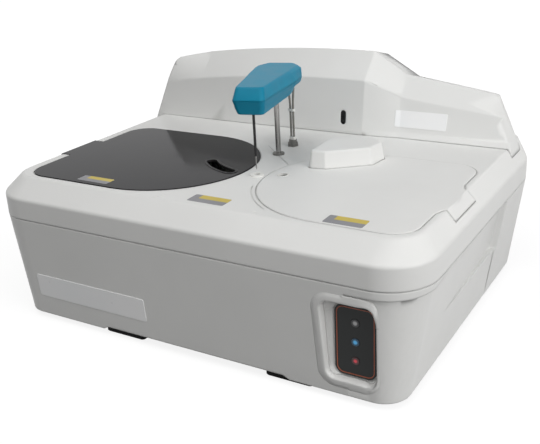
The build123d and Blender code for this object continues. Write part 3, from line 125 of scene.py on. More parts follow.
class Finish:
    """A material: its node tree, its shader and the ways to add to them."""

    def __init__(self, name, shader="ShaderNodeBsdfPrincipled", **constants):
        self.material = bpy.data.materials.new(name)
        self.material.use_nodes = True
        self.tree = self.material.node_tree
        self.tree.nodes.clear()
        self.output = self.tree.nodes.new("ShaderNodeOutputMaterial")
        self.shader = self.tree.nodes.new(shader)
        self.tree.links.new(self.shader.outputs[0], self.output.inputs["Surface"])
        for socket, value in constants.items():
            self.shader.inputs[socket.replace("_", " ")].default_value = value

    def add(self, kind, settings=None, inputs=None, out=0):
        """Add a node: its settings first, then the values or links of its sockets."""
        node = self.tree.nodes.new(kind)
        for key, value in (settings or {}).items():
            setattr(node, key, value)
        for key, value in (inputs or {}).items():
            self.feed(node.inputs[key], value)
        return Field(self, node.outputs[out])

    def feed(self, socket, value):
        if isinstance(value, Field):
            self.tree.links.new(value.socket, socket)
        else:
            socket.default_value = value

    def set(self, **fields):
        for socket, value in fields.items():
            self.feed(self.shader.inputs[socket.replace("_", " ")], value)
        return self

    def place(self, stretch=(1.0, 1.0, 1.0)):
        here = self.add("ShaderNodeTexCoord", out=3)
        return self.add("ShaderNodeMapping", inputs={"Vector": here, "Scale": stretch})

    def noise(self, size, detail=2.0, stretch=(1.0, 1.0, 1.0)):
        """Soft noise whose blobs are about size metres across."""
        return self.add("ShaderNodeTexNoise", inputs={
            "Vector": self.place(stretch), "Scale": 1.0 / size, "Detail": detail})

    def step(self, field, low, high):
        """0 below low, 1 above high, smooth between."""
        return self.add("ShaderNodeMapRange", {"interpolation_type": "SMOOTHSTEP"},
                        {"Value": field, "From Min": low, "From Max": high})

    def mix(self, factor, a, b):
        return self.add("ShaderNodeMix", {"data_type": "RGBA"}, {0: factor, 6: a, 7: b}, out=2)

    def relief(self, height, depth, strength=1.0, edge=0.0):
        """A bump over the surface. edge rounds the light off on corners, as a mould's radius does."""
        bump = self.add("ShaderNodeBump", inputs={"Height": height, "Distance": depth, "Strength": strength})
        if edge:
            soft = self.add("ShaderNodeBevel", {"samples": 6}, {"Radius": edge})
            self.feed(bump.socket.node.inputs["Normal"], soft)
        return self.set(Normal=bump)


def tint(red, green, blue):
    """A screen colour, 0 to 255, as the linear values that shaders take."""
    def linear(v):
        v = v / 255
        return v / 12.92 if v < 0.04045 else ((v + 0.055) / 1.055) ** 2.4
    return (linear(red), linear(green), linear(blue), 1.0)


print("white plastic as linear light", [round(v, 3) for v in tint(226, 226, 224)[:3]])

# %% [markdown]
# ## Moulded plastic
#
# The housing is moulded in off-white plastic with a fine spark-eroded grain, which scatters the
# light into a satin sheen. From a step away the grain can't be seen, but it breaks up the
# highlight. Large soft noise shifts the colour and gloss by a percent or two, as handling and
# cleaning do. Every other plastic here is the same recipe with other colours and grain.

# %% Plastic recipe
def plastic(name, colour, drift, rough, grain=0.0008, depth=0.00003, edge=0.0006, shine=0.5):
    """Moulded plastic: colour drifts to a second tone, over a fine grain and softened edges."""
    finish = Finish(name, Specular_IOR_Level=shine)
    cloud = finish.noise(0.16, 3.0)
    wiped = finish.noise(0.035, 4.0)
    finish.set(Base_Color=finish.mix(finish.step(cloud, 0.3, 0.7), colour, drift),
               Roughness=finish.step(wiped, 0.2, 0.8) * 0.07 + (rough - 0.035))
    return finish.relief(finish.noise(grain, 1.0), depth, 0.6, edge)


shell_white = plastic("shell_white", tint(230, 230, 228), tint(227, 227, 225), 0.42, edge=0.0045, shine=0.35)
optics_white = plastic("optics_white", tint(229, 229, 227), tint(226, 226, 224), 0.44, edge=0.005, shine=0.35)
guide_white = plastic("guide_white", tint(238, 238, 234), tint(230, 230, 226), 0.38)
panel_black = plastic("panel_black", tint(34, 36, 36), tint(29, 31, 31), 0.34, depth=0.000012, shine=0.25)
part_black = plastic("part_black", tint(30, 30, 31), tint(24, 24, 25), 0.45, shine=0.3)
chamber_black = plastic("chamber_black", tint(44, 45, 47), tint(38, 38, 40), 0.6, shine=0.3)
trim_rust = plastic("trim_rust", tint(168, 84, 52), tint(150, 72, 44), 0.35)
rubber = plastic("rubber", tint(24, 24, 24), tint(30, 30, 29), 0.8, grain=0.0015, depth=0.00008, shine=0.15)
print("plastics", 8)

# %% [markdown]
# ## Lit keys
#
# Each key is a translucent dot with a small lamp behind it: brightest in the middle, fading into
# a dark rim. The distance from the key's own centre, worked out from Object coordinates, mixes
# the rim into the glow. Their places come from the solid keys.

# %% Key recipe
def lit_key(node, core, rim, spread=0.0046):
    """A key that glows in the middle. Its centre is the solid key's."""
    low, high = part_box(node)
    middle = (low + high) / 2
    finish = Finish(node + "_lit", Roughness=0.32)
    apart = finish.add("ShaderNodeSeparateXYZ", inputs={0: finish.add("ShaderNodeTexCoord", out=3)})
    height = Field(finish, apart.socket.node.outputs["Z"])
    x, z = apart - middle.x, height - middle.z
    away = x * x + z * z
    mask = 1 - finish.step(away, 0.0012 ** 2, spread ** 2)
    finish.set(Base_Color=finish.mix(mask, rim, core), Emission_Color=finish.mix(mask, (0, 0, 0, 1), core))
    finish.shader.inputs["Emission Strength"].default_value = 0.25
    return finish.relief(finish.noise(0.0008, 1.0), 0.00002, 0.5, 0.0006)


key_grey = lit_key("button_upper", tint(150, 150, 150), tint(52, 53, 54))
key_blue = lit_key("button_middle", tint(84, 170, 222), tint(30, 70, 96))
key_red = lit_key("button_lower", tint(206, 64, 76), tint(70, 32, 34), 0.0040)
print("keys", 3)

# %% [markdown]
# ## Smoked acrylic
#
# The reagent lid is a dark, polished sheet. Its colour is nearly black; what the photograph
# shows as grey is the bright studio mirrored in it, with the darker hood standing in that
# mirror. So the material is dark and smooth, and a very shallow, wide ripple keeps the mirror
# from being perfect, as pressed acrylic is.

# %% Smoked acrylic and clear plastics
smoked = Finish("smoked_acrylic", Specular_IOR_Level=0.08)
smear = smoked.noise(0.06, 4.0)
smoked.set(Base_Color=smoked.mix(smoked.step(smear, 0.3, 0.7), tint(25, 24, 28), tint(22, 21, 25)),
           Roughness=smoked.step(smear, 0.25, 0.75) * 0.04 + 0.09)
smoked.relief(smoked.noise(0.12, 0.0), 0.0006, 0.2, 0.001)

window_dark = Finish("window_dark", Specular_IOR_Level=0.4)
window_dark.set(Base_Color=window_dark.mix(window_dark.noise(0.01), tint(16, 17, 18), tint(24, 25, 27)),
                Roughness=window_dark.noise(0.02) * 0.08 + 0.08)

clear_glass = Finish("clear_glass", Transmission_Weight=0.92, IOR=1.5)
clear_glass.set(Base_Color=clear_glass.mix(clear_glass.noise(0.05), tint(238, 244, 245), tint(228, 238, 240)),
                Roughness=clear_glass.noise(0.02) * 0.05 + 0.02)

tube_plastic = Finish("tube_plastic", Specular_IOR_Level=0.5)
tube_plastic.set(Base_Color=tube_plastic.mix(tube_plastic.noise(0.02), tint(138, 136, 130), tint(112, 111, 106)),
                 Roughness=tube_plastic.noise(0.01) * 0.1 + 0.22)
print("clear finishes", 4)

# %% [markdown]
# ## The arm's lacquer
#
# The arm covers are a petrol blue with a soft gloss. Seen along the roof the sheen of the sky
# light greys the blue, and the sides keep the full colour. The roof cover gets a slightly lighter
# tone as painted sheen, and both share one orange-peel ripple.

# %% Arm lacquer
def lacquer(name, colour, drift):
    finish = Finish(name, Specular_IOR_Level=0.2)
    patch = finish.noise(0.03, 3.0)
    finish.set(Base_Color=finish.mix(finish.step(patch, 0.3, 0.7), colour, drift),
               Roughness=finish.step(patch, 0.2, 0.8) * 0.06 + 0.42)
    return finish.relief(finish.noise(0.0016, 1.0), 0.00004, 0.5, 0.004)


# The roof cover's colour carries a little painted sheen; the lower cover keeps the plain blue.
arm_roof_sheen_blue = lacquer("arm_roof_sheen_blue", tint(4, 124, 154), tint(8, 130, 160))
arm_lower_blue = lacquer("arm_lower_blue", tint(2, 122, 152), tint(5, 127, 157))
print("lacquers", 2)

# %% [markdown]
# ## Metals, paint and boards
#
# Turned and drawn metal carries fine lines along its length. Noise squeezed in two directions
# and stretched in the third gives them, and they vary the roughness and a shallow bump.
# Inside parts are painted sheet metal and green circuit board with copper lines under lacquer.

# %% Metals
def brushed(name, colour, drift, rough, along=(1.0, 1.0, 0.03), metal=1.0):
    """Metal with fine lines along one direction."""
    finish = Finish(name, Metallic=metal)
    lines = finish.noise(0.0006, 2.0, along)
    finish.set(Base_Color=finish.mix(lines, colour, drift), Roughness=lines * 0.22 + (rough - 0.11))
    return finish.relief(lines, 0.00002, 0.4, 0.0004)


steel = brushed("steel", tint(168, 167, 165), tint(132, 131, 130), 0.26)
dull_steel = brushed("dull_steel", tint(128, 127, 124), tint(92, 92, 90), 0.38)
aluminium = brushed("aluminium", tint(214, 215, 216), tint(190, 191, 192), 0.36, (0.03, 1.0, 1.0))
grey_paint = plastic("grey_paint", tint(176, 178, 180), tint(166, 168, 170), 0.5, grain=0.0014, depth=0.00006)
motor_paint = plastic("motor_paint", tint(58, 59, 62), tint(48, 49, 52), 0.5, grain=0.0014, depth=0.00006)

board = Finish("board", IOR=1.5)
tracks = board.add("ShaderNodeTexBrick", {"offset": 0.37}, {
    "Vector": board.place(), "Scale": 60.0, "Mortar Size": 0.035, "Color1": (0, 0, 0, 1), "Color2": (0, 0, 0, 1),
    "Mortar": (1, 1, 1, 1)}, out=1)
board.set(Base_Color=board.mix(tracks, tint(26, 96, 58), tint(60, 128, 72)), Roughness=tracks * 0.1 + 0.35)
board.relief(tracks, 0.00005, 0.5)
print("metals and boards", 5)

# %% [markdown]
# ## Dressing the solid pieces
#
# The solids whose shape is already right keep their mesh and only get a finish. One table says
# which finish goes where, so that a change of mind is one word.

# %% Finish of each solid piece
DRESS = {
    shell_white: ["base_shell", "top_cover", "hood", "reaction_lid"],
    optics_white: ["optics_cover"],
    smoked: ["reagent_lid"],
    window_dark: ["hood_window"],
    part_black: ["bottom_tray", "slot_rim", "probe_sleeve", "rocker", "rocker_bezel", "power_inlet",
                 "fan_frame", "fan_rotor", "data_port", "reagent_rotor", "reaction_rotor", "photometer"],
    chamber_black: ["reagent_chamber", "reaction_chamber"],
    panel_black: ["switch_panel"],
    trim_rust: ["panel_trim"],
    key_grey: ["button_upper"],
    key_blue: ["button_middle"],
    key_red: ["button_lower"],
    rubber: ["feet"],
    guide_white: ["gland_collar", "tube_clip", "wash_well", "port_ring", "reagent_bottles", "bottle_in_use",
                  "screw_caps", "hose_fittings", "cuvette_ring"],
    arm_roof_sheen_blue: ["arm_upper_cover"],
    arm_lower_blue: ["arm_lower_cover"],
    tube_plastic: ["arm_tubes"],
    clear_glass: ["sample_tubes"],
    steel: ["arm_shaft", "needle", "lift_rail", "reagent_spindle", "reaction_spindle", "fan_guard"],
    dull_steel: ["tube_gland", "shaft_bush"],
    aluminium: ["arm_chassis", "probe_holder", "lift_carriage", "tube_anchor", "syringe_pump"],
    grey_paint: ["rear_panel", "power_supply"],
    motor_paint: ["reagent_motor", "reaction_motor", "swing_motor"],
    board: ["main_board", "button_board"],
}
dressed = set()
for finish, names in DRESS.items():
    for name in names:
        if name not in nodes:
            print("not a node:", name)
            continue
        for holder in nodes[name].material_slots:
            holder.material = finish.material
        dressed.add(name)
print("dressed", len(dressed), "left", sorted(set(nodes) - dressed))

# %% [markdown]
# ## Rolled edges
#
# A moulded shell has no knife edges: every outer corner is rolled over, and it is that narrow
# bright or dark line which makes plastic look moulded. The solids carry the plain corners, so
# each visible shell gets a copy whose outer edges are bevelled. Which edge gets how much comes
# from a rule on its place and angle, written as bevel weights, and one Bevel modifier cuts them
# all at once. The copy then stands for its solid.

# %% Rolled edge helper
def rolled(node, rule, widest, segments=3, steepest=24, weld=0.00001, crease=32):
    """A copy of a solid whose convex edges are rounded. rule(middle, degrees, way) gives 0..1 of widest."""
    source = nodes[node]
    shell = bmesh.new()
    shell.from_mesh(source.data)
    bmesh.ops.remove_doubles(shell, verts=shell.verts, dist=weld)
    bmesh.ops.dissolve_limit(shell, angle_limit=math.radians(0.05), verts=shell.verts, edges=shell.edges)
    weights = shell.edges.layers.float.new("bevel_weight_edge")
    rounded = 0
    for edge in shell.edges:
        if not edge.is_manifold:
            continue
        degrees = math.degrees(edge.calc_face_angle_signed())
        if degrees < steepest:
            continue
        a, b = (v.co for v in edge.verts)
        edge[weights] = rule((a + b) / 2 / MM, degrees, (b - a).normalized())
        rounded += edge[weights] > 0
    mesh = bpy.data.meshes.new(node + "_shell")
    shell.to_mesh(mesh)
    shell.free()
    for holder in source.material_slots:
        mesh.materials.append(holder.material)
    piece = bpy.data.objects.new(node + "_shell", mesh)
    bpy.context.scene.collection.objects.link(piece)
    roll = piece.modifiers.new("roll", "BEVEL")
    roll.limit_method, roll.width, roll.segments = "WEIGHT", widest, segments
    roll.use_clamp_overlap, roll.miter_outer = False, "MITER_ARC"
    graph = bpy.context.evaluated_depsgraph_get()
    finished = bpy.data.meshes.new_from_object(piece.evaluated_get(graph))
    piece.modifiers.clear()
    piece.data = finished
    finished.shade_smooth()
    finished.set_sharp_from_angle(angle=math.radians(crease))
    even = piece.modifiers.new("even", "WEIGHTED_NORMAL")
    even.keep_sharp = True
    print("rolled", node, rounded, "edges,", len(finished.polygons), "faces")
    return piece


def dress_shell(node, body, rule, widest, **how):
    piece = rolled(node, rule, widest, **how)
    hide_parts(node)
    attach(piece, body)
    return piece


# %% Base, cover and hood
def base_edges(at, degrees, way):
    """The hand recesses and the foot line. The pocket's mouth gets its own raised lip below."""
    recess = abs(at.x) > 380 and -80 < at.y < 140 and 34 < at.z < 209
    return 1.0 if recess else 0.7 if at.z < 12 and abs(way.z) < 0.1 else 0.0


def cover_edges(at, degrees, way):
    """The upper edge of the band and the line where the shoulder meets the deck."""
    if at.z < 246:
        return 0.0
    if at.z < 262:
        return 1.0 if degrees < 70 else 0.0
    return 1.0 if degrees < 60 and at.z > 279 else 0.0


def hood_edges(at, degrees, way):
    """Every facet and the roof line; not the rims, nor the slot of the window."""
    return 1.0 if at.z > 286 and at.y < 270 and at.x < 352 and degrees < 86 else 0.0


base = dress_shell("base_shell", "housing", base_edges, 0.0016, crease=18)
cover = dress_shell("top_cover", "housing", cover_edges, 0.004, steepest=12)
hood = dress_shell("hood", "housing", hood_edges, 0.002, steepest=12, weld=0.0006)
optics = dress_shell("optics_cover", "housing", lambda at, degrees, way: float(at.z > 305), 0.0011)

# %% Lids and arm covers
reaction_lid = dress_shell("reaction_lid", "reaction_cover", lambda at, degrees, way: float(at.z > 278.5), 0.0007)
reagent_lid = dress_shell("reagent_lid", "reagent_cover", lambda at, degrees, way: float(at.z > 278.5), 0.0006)
arm_roof = dress_shell("arm_upper_cover", "arm", lambda at, degrees, way: float(at.z > 422), 0.0007, steepest=14)
arm_keel = dress_shell("arm_lower_cover", "arm", lambda at, degrees, way: float(at.z < 417), 0.0012, steepest=14)

# %% [markdown]
# ## Plates that follow a curved wall
#
# The front wall is gently curved and leans inwards, so a flat plate would stand off it at the
# ends. Each plate is laid on as a grid: every point is dropped onto the wall with a ray, and
# lifted again by the plate's thickness. The columns get shorter near the ends, which gives the
# round corners without any cutting.

# %% Plate helper
def surface(*names):
    """The named solids as one surface for rays."""
    corners, faces = [], []
    for name in names:
        base = len(corners)
        mesh = nodes[name].data
        corners += [v.co.copy() for v in mesh.vertices]
        faces += [[base + i for i in p.vertices] for p in mesh.polygons]
    return BVHTree.FromPolygons(corners, faces)


def columns(width, corner, count):
    """Places across a plate, closer together in the round ends."""
    ends = [corner * (1 - math.cos(math.pi / 2 * k / 6)) for k in range(6)]
    middle = [corner + (width - 2 * corner) * k / count for k in range(count + 1)]
    return ends + middle + [width - e for e in reversed(ends)]


def lay_plate(name, wall, centre, across, upward, size, corner, thick, finishes, body, pick=None, count=24):
    """A thin plate with round corners on a wall. pick(u, v) gives each face's finish, u and v in 0..1."""
    out = across.cross(upward).normalized()
    width, height = size
    rows = 8
    us = columns(width, corner, count)
    top, low = [], []
    for u in us:
        d = min(u, width - u)
        half = height / 2 - (corner - math.sqrt(max(corner ** 2 - (corner - d) ** 2, 0.0)) if d < corner else 0.0)
        for k in range(rows + 1):
            aim = centre + across * (u - width / 2) + upward * (half * (2 * k / rows - 1))
            hit, normal, _, _ = wall.ray_cast(aim + out * 0.05, -out)
            if hit is None:
                hit = aim
            top.append(hit + out * thick)
            low.append(hit - out * 0.0004)
    mesh = bpy.data.meshes.new(name)
    n, m = len(us), rows + 1
    faces = [(i * m + j, (i + 1) * m + j, (i + 1) * m + j + 1, i * m + j + 1)
             for i in range(n - 1) for j in range(rows)]
    rim = ([i * m for i in range(n)] + [(n - 1) * m + j for j in range(1, m)]
           + [i * m + rows for i in range(n - 2, -1, -1)] + [j for j in range(rows - 1, 0, -1)])
    total = n * m
    sides = [(a, a + total, b + total, b) for a, b in zip(rim, rim[1:] + rim[:1])]
    back = [tuple(v + total for v in reversed(f)) for f in faces]
    mesh.from_pydata([tuple(v) for v in top + low], [], faces + sides + back)
    piece = bpy.data.objects.new(name, mesh)
    bpy.context.scene.collection.objects.link(piece)
    for finish in finishes:
        mesh.materials.append(finish.material)
    if pick:
        for index, (i, j) in enumerate((i, j) for i in range(n - 1) for j in range(rows)):
            mesh.polygons[index].material_index = pick((us[i] + us[i + 1]) / 2 / width, (j + 0.5) / rows)
    edge = piece.modifiers.new("edge", "BEVEL")
    edge.width, edge.segments, edge.limit_method, edge.angle_limit = thick * 0.4, 2, "ANGLE", math.radians(50)
    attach(piece, body)
    print("plate", name, len(mesh.polygons), "faces")
    return piece


# %% [markdown]
# ## The bare plates
#
# The real machine carries printed plates: a long one at the lower left of the front wall, one
# on the hood, and three small two-tone ones on the deck. They are kept as blank plates of the
# same size, in the same place, because what was printed on them is left out.

# %% Plates
plate_pale = plastic("plate_pale", tint(250, 250, 250), tint(244, 246, 247), 0.30, depth=0.00001)
label_yellow = plastic("label_yellow", tint(206, 184, 66), tint(196, 174, 60), 0.42, depth=0.00001)
label_grey = plastic("label_grey", tint(136, 136, 140), tint(128, 128, 132), 0.42, depth=0.00001)
X, Y, Z = Vector((1, 0, 0)), Vector((0, 1, 0)), Vector((0, 0, 1))

front_wall = surface("base_shell")
lean = (Z * 1.0 + Y * -0.09).normalized()
front_plate = lay_plate("front_plate", front_wall, Vector((-0.211, -0.312, 0.076)), X, lean,
                        (0.258, 0.046), 0.004, 0.0008, [plate_pale], "housing")

hood_wall = surface("hood")
hood_plate = lay_plate("hood_plate", hood_wall, Vector((0.226, 0.228, 0.3135)), X, (Z + Y * 0.25).normalized(),
                       (0.106, 0.033), 0.002, 0.0006, [plate_pale], "housing")


def two_tone(u, v):
    return 1 if u > 0.2 and v > 0.44 else 0


deck_top = surface("top_cover", "reagent_lid", "reaction_lid")
for name, x0, x1, y0, y1, body in [("reagent_label", -258, -188, -257, -232, "reagent_cover"),
                                   ("deck_label", -5, 67, -265, -234, "housing"),
                                   ("reaction_label", 248, 315, -263, -232, "reaction_cover")]:
    middle = Vector(((x0 + x1) / 2, (y0 + y1) / 2, 281)) * MM
    label = lay_plate(name, deck_top, middle, X, Y, ((x1 - x0) * MM, (y1 - y0) * MM), 0.003, 0.0003,
                      [label_grey, label_yellow], body, two_tone, 18)

# %% [markdown]
# ## The lip round the pocket
#
# The key panel sits in a hollow whose mouth has a soft raised lip: a bright line where it turns
# up to the light, and a soft shade where it runs out into the wall. It is laid on like the
# plates: a strip that follows the mouth, with its height taken from a smooth profile, so that
# both sides of the strip end just under the wall.

# %% Mesh helper and pocket lip
def mesh_piece(name, corners, faces, finish, smooth=True):
    mesh = bpy.data.meshes.new(name)
    mesh.from_pydata([tuple(c) for c in corners], [], faces)
    turned = bmesh.new()
    turned.from_mesh(mesh)
    bmesh.ops.recalc_face_normals(turned, faces=turned.faces)
    turned.to_mesh(mesh)
    turned.free()
    mesh.materials.append(finish.material)
    piece = bpy.data.objects.new(name, mesh)
    bpy.context.scene.collection.objects.link(piece)
    if smooth:
        mesh.shade_smooth()
        mesh.set_sharp_from_angle(angle=math.radians(40))
    return piece


def mouth_line(left_top, left_foot, right, top, foot, radius, tight, count=10):
    """The mouth of the pocket as (x, z) in mm: up the right side, round to the left, and back below."""
    def straight(start, end):
        return [(start[0] + (end[0] - start[0]) * k / 12, start[1] + (end[1] - start[1]) * k / 12) for k in range(1, 12)]

    def corner(cx, cz, r, a0):
        turns = [math.radians(a0 + 90 * k / count) for k in range(count + 1)]
        return [(cx + r * math.cos(a), cz + r * math.sin(a)) for a in turns]

    top_right = corner(right - tight, top - tight, tight, 0)
    top_left = corner(left_top + radius, top - radius, radius, 90)
    low_left = corner(left_foot + radius, foot + radius, radius, 180)
    low_right = corner(right - tight, foot + tight, tight, 270)
    rise = [(right, top - tight - 24 + 3 * k) for k in range(8)]
    return (rise + top_right + straight(top_right[-1], top_left[0]) + top_left + straight(top_left[-1], low_left[0])
            + low_left + straight(low_left[-1], low_right[0]) + low_right + [(x, foot + tight + 3 + 3 * k) for k, (x, _)
                                                                           in enumerate(rise)])


def wall_y(x, z):
    """The front wall across the pocket, in mm: it leans out as it rises and turns away at the corner."""
    return -309.2 - 0.0703 * (z - 29.1) + 0.0087 * max(0.0, x - 334.0) ** 2


LIP_INNER, LIP_CREST, LIP_OUTER, LIP_HEIGHT = -15.0, -10.5, 4.0, 1.3
LIP_RUN_OUT = 20
mouth = mouth_line(256.5, 261.5, 359.5, 191.0, 28.0, 27.0, 21.0)
corners, faces, rows, SUNK = [], [], 14, 0.7
for k, (x, z) in enumerate(mouth):
    before, after = mouth[max(k - 1, 0)], mouth[min(k + 1, len(mouth) - 1)]
    run = Vector((after[0] - before[0], 0, after[1] - before[1])).normalized()
    outward = Vector((run.z, 0, -run.x))
    share = min(k, len(mouth) - 1 - k, LIP_RUN_OUT) / LIP_RUN_OUT
    share = share * share * (3 - 2 * share)
    inner, crest = LIP_INNER * share - 0.8 * (1 - share), LIP_CREST * share - 0.4 * (1 - share)
    front, back = [], []
    for r in range(rows + 1):
        u = inner + (LIP_OUTER - inner) * r / rows
        at = Vector((x, 0, z)) + outward * u
        hit, _, _, _ = front_wall.ray_cast(Vector((at.x, -335, at.z)) * MM, Y)
        deep = hit.y / MM
        roll = min((u - inner) / (crest - inner), 1.0)
        roll = math.sin(math.pi / 2 * roll)
        fade = 1 - max(0.0, (u - crest) / (LIP_OUTER - crest))
        proud = min(wall_y(at.x, at.z), deep) - LIP_HEIGHT * share * fade * fade * (3 - 2 * fade)
        front.append(Vector((at.x, deep + 0.3 + (proud - deep - 0.3) * roll, at.z)) * MM)
        back.append(Vector((at.x, deep + SUNK, at.z)) * MM)
    front[-1] = Vector((front[-1].x, back[-1].y - 0.4 * MM, front[-1].z))
    corners += front + back[::-1]
loop = 2 * (rows + 1)
for k in range(len(mouth) - 1):
    for r in range(loop):
        a, b = k * loop + r, k * loop + (r + 1) % loop
        faces.append((a, b, b + loop, a + loop))
faces += [tuple(range(loop)), tuple(len(corners) - loop + r for r in reversed(range(loop)))]
lip = mesh_piece("pocket_lip", corners, faces, shell_white)
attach(lip, "housing")
print("lip", len(faces), "faces, depth", round(min(c.y for c in corners) / MM, 1), round(max(c.y for c in corners) / MM, 1))

# %% [markdown]
# ## Screws of the rear panel
#
# The rear panel and the fan guard are held by small pan-head screws. They are alike and sit at
# the corners of two rectangles, which is what Geometry Nodes do well: a grid gives the points,
# each point gets the same head with its own turn, and the result is made a plain mesh.

# %% One screw head
def lathe(profile, sides):
    """A closed solid of revolution about Z. profile is (radius, z) from the axis at the top to the axis below."""
    corners, faces, rings = [], [], []
    for radius, z in profile:
        if radius == 0:
            rings.append([len(corners)])
            corners.append(Vector((0, 0, z)))
        else:
            rings.append(list(range(len(corners), len(corners) + sides)))
            corners += [Vector((radius * math.cos(2 * math.pi * k / sides), radius * math.sin(2 * math.pi * k / sides), z))
                        for k in range(sides)]
    for upper, lower in zip(rings, rings[1:]):
        for k in range(sides):
            a, b = upper[k % len(upper)], upper[(k + 1) % len(upper)]
            c, d = lower[(k + 1) % len(lower)], lower[k % len(lower)]
            faces.append(tuple(dict.fromkeys((a, b, c, d))))
    return corners, faces


HEAD_R, HEAD_H = 0.0034, 0.0022
head_profile = [(0, 0.4), (0.42, 0.4), (0.46, 0.98), (0.62, 0.93), (0.86, 0.7), (1.0, 0.3), (1.0, -0.2), (0, -0.2)]
head = mesh_piece("screw_head", *lathe([(r * HEAD_R, z * HEAD_H) for r, z in head_profile], 16), dull_steel)


# %% Screw pattern tree
def screw_tree():
    """Geometry Nodes: a head at each point of a grid, turned at random, placed on a wall that faces back."""
    tree = bpy.data.node_groups.new("screw_pattern", "GeometryNodeTree")
    sockets = {}
    for label, kind in (("Head", "NodeSocketObject"), ("Finish", "NodeSocketMaterial"), ("Columns", "NodeSocketInt"),
                        ("Rows", "NodeSocketInt"), ("Width", "NodeSocketFloat"), ("Height", "NodeSocketFloat"),
                        ("Middle", "NodeSocketVector"), ("Seed", "NodeSocketInt")):
        sockets[label] = tree.interface.new_socket(label, in_out="INPUT", socket_type=kind).identifier
    tree.interface.new_socket("Geometry", in_out="OUTPUT", socket_type="NodeSocketGeometry")
    given, result = tree.nodes.new("NodeGroupInput"), tree.nodes.new("NodeGroupOutput")

    def step(kind, links, **settings):
        node = tree.nodes.new(kind)
        for key, value in settings.items():
            setattr(node, key, value)
        for socket, source in links.items():
            if hasattr(source, "node"):
                tree.links.new(source, node.inputs[socket])
            else:
                node.inputs[socket].default_value = source
        return node.outputs

    grid = step("GeometryNodeMeshGrid", {"Size X": given.outputs["Width"], "Size Y": given.outputs["Height"],
                                         "Vertices X": given.outputs["Columns"], "Vertices Y": given.outputs["Rows"]})
    heads = step("GeometryNodeObjectInfo", {"Object": given.outputs["Head"]})
    turn = step("FunctionNodeRandomValue", {"Seed": given.outputs["Seed"], "Max": (0.0, 0.0, 2 * math.pi)},
                data_type="FLOAT_VECTOR")
    placed = step("GeometryNodeInstanceOnPoints", {"Points": grid[0], "Instance": heads["Geometry"],
                                                   "Rotation": turn[0]})
    moved = step("GeometryNodeTransform", {"Geometry": placed[0], "Translation": given.outputs["Middle"],
                                           "Rotation": (-math.pi / 2, 0.0, 0.0)})
    real = step("GeometryNodeRealizeInstances", {"Geometry": moved[0]})
    painted = step("GeometryNodeSetMaterial", {"Geometry": real[0], "Material": given.outputs["Finish"]})
    tree.links.new(painted[0], result.inputs[0])
    return tree, sockets


# %% Lay out the screws
SHEET = 0.0015
panel_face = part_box("rear_panel")[0].y + SHEET


def screws(name, tree, sockets, node, columns, rows, margin, seed):
    """Screws along the edges of a node's box, on the floor of the rear panel."""
    low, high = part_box(node)
    values = {"Head": head, "Finish": dull_steel.material, "Columns": columns, "Rows": rows,
              "Width": high.x - low.x - 2 * margin, "Height": high.z - low.z - 2 * margin,
              "Middle": Vector(((low.x + high.x) / 2, panel_face, (low.z + high.z) / 2)), "Seed": seed}
    holder = bpy.data.objects.new(name + "_tree", bpy.data.meshes.new(name + "_tree"))
    bpy.context.scene.collection.objects.link(holder)
    pattern = holder.modifiers.new("pattern", "NODES")
    pattern.node_group = tree
    for label, value in values.items():
        pattern[sockets[label]] = value
    mesh = bpy.data.meshes.new_from_object(holder.evaluated_get(bpy.context.evaluated_depsgraph_get()))
    bpy.data.objects.remove(holder)
    mesh.name = name
    piece = bpy.data.objects.new(name, mesh)
    bpy.context.scene.collection.objects.link(piece)
    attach(piece, "housing")
    print(name, len(mesh.polygons), "faces")
    return piece


tree, sockets = screw_tree()
panel_screws = screws("panel_screws", tree, sockets, "rear_panel", 4, 2, 0.0165, 3)
guard_screws = screws("guard_screws", tree, sockets, "fan_frame", 2, 2, 0.006, 5)
bpy.data.objects.remove(head)

# %% [markdown]
# ## The suction tubes
#
# Two soft tubes slide up through a gland in the deck and end inside the arm. On the machine they follow
# the arm when it swings, while their lower part stays with the lift. Here the tubes and the little white
# clip are built once, in place, and are not tied to a moving body.

# %% Tubes and clip
GLAND = Vector((0.0094, 0.0795, 0.0))
TUBE_HALF_PITCH, TUBE_R = 0.003, 0.0021
TUBE_FOOT, TUBE_BEND_Z, TUBE_TOP = 0.221, 0.360, 0.397
TUBE_SPLAY = 0.003


def sweep_tube(points, radius, sides=20):
    """Corners and faces of a closed round tube along points."""
    corners, faces = [], []
    for k, point in enumerate(points):
        ahead = (points[min(k + 1, len(points) - 1)] - points[max(k - 1, 0)]).normalized()
        side = ahead.cross(Y).normalized()
        front = side.cross(ahead).normalized()
        for s in range(sides):
            a = 2 * math.pi * s / sides
            corners.append(point + (side * math.cos(a) + front * math.sin(a)) * radius)
    for k in range(len(points) - 1):
        for s in range(sides):
            t = (s + 1) % sides
            faces.append((k * sides + s, k * sides + t, (k + 1) * sides + t, (k + 1) * sides + s))
    faces.append(tuple(reversed(range(sides))))
    faces.append(tuple((len(points) - 1) * sides + s for s in range(sides)))
    return corners, faces


corners, faces = [], []
for side in (-1, 1):
    line = []
    for k in range(61):
        z = TUBE_FOOT + (TUBE_TOP - TUBE_FOOT) * k / 60
        bend = max(0.0, (z - TUBE_BEND_Z + 0.012) / (TUBE_TOP - TUBE_BEND_Z + 0.012))
        line.append(GLAND + X * side * (TUBE_HALF_PITCH + TUBE_SPLAY * bend * bend) + Z * z)
    more, walls = sweep_tube(line, TUBE_R)
    faces += [tuple(i + len(corners) for i in f) for f in walls]
    corners += more
tubes = mesh_piece("suction_tubes", corners, faces, tube_plastic)
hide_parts("arm_tubes")
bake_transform(tubes)
print("tubes", len(faces), "faces")

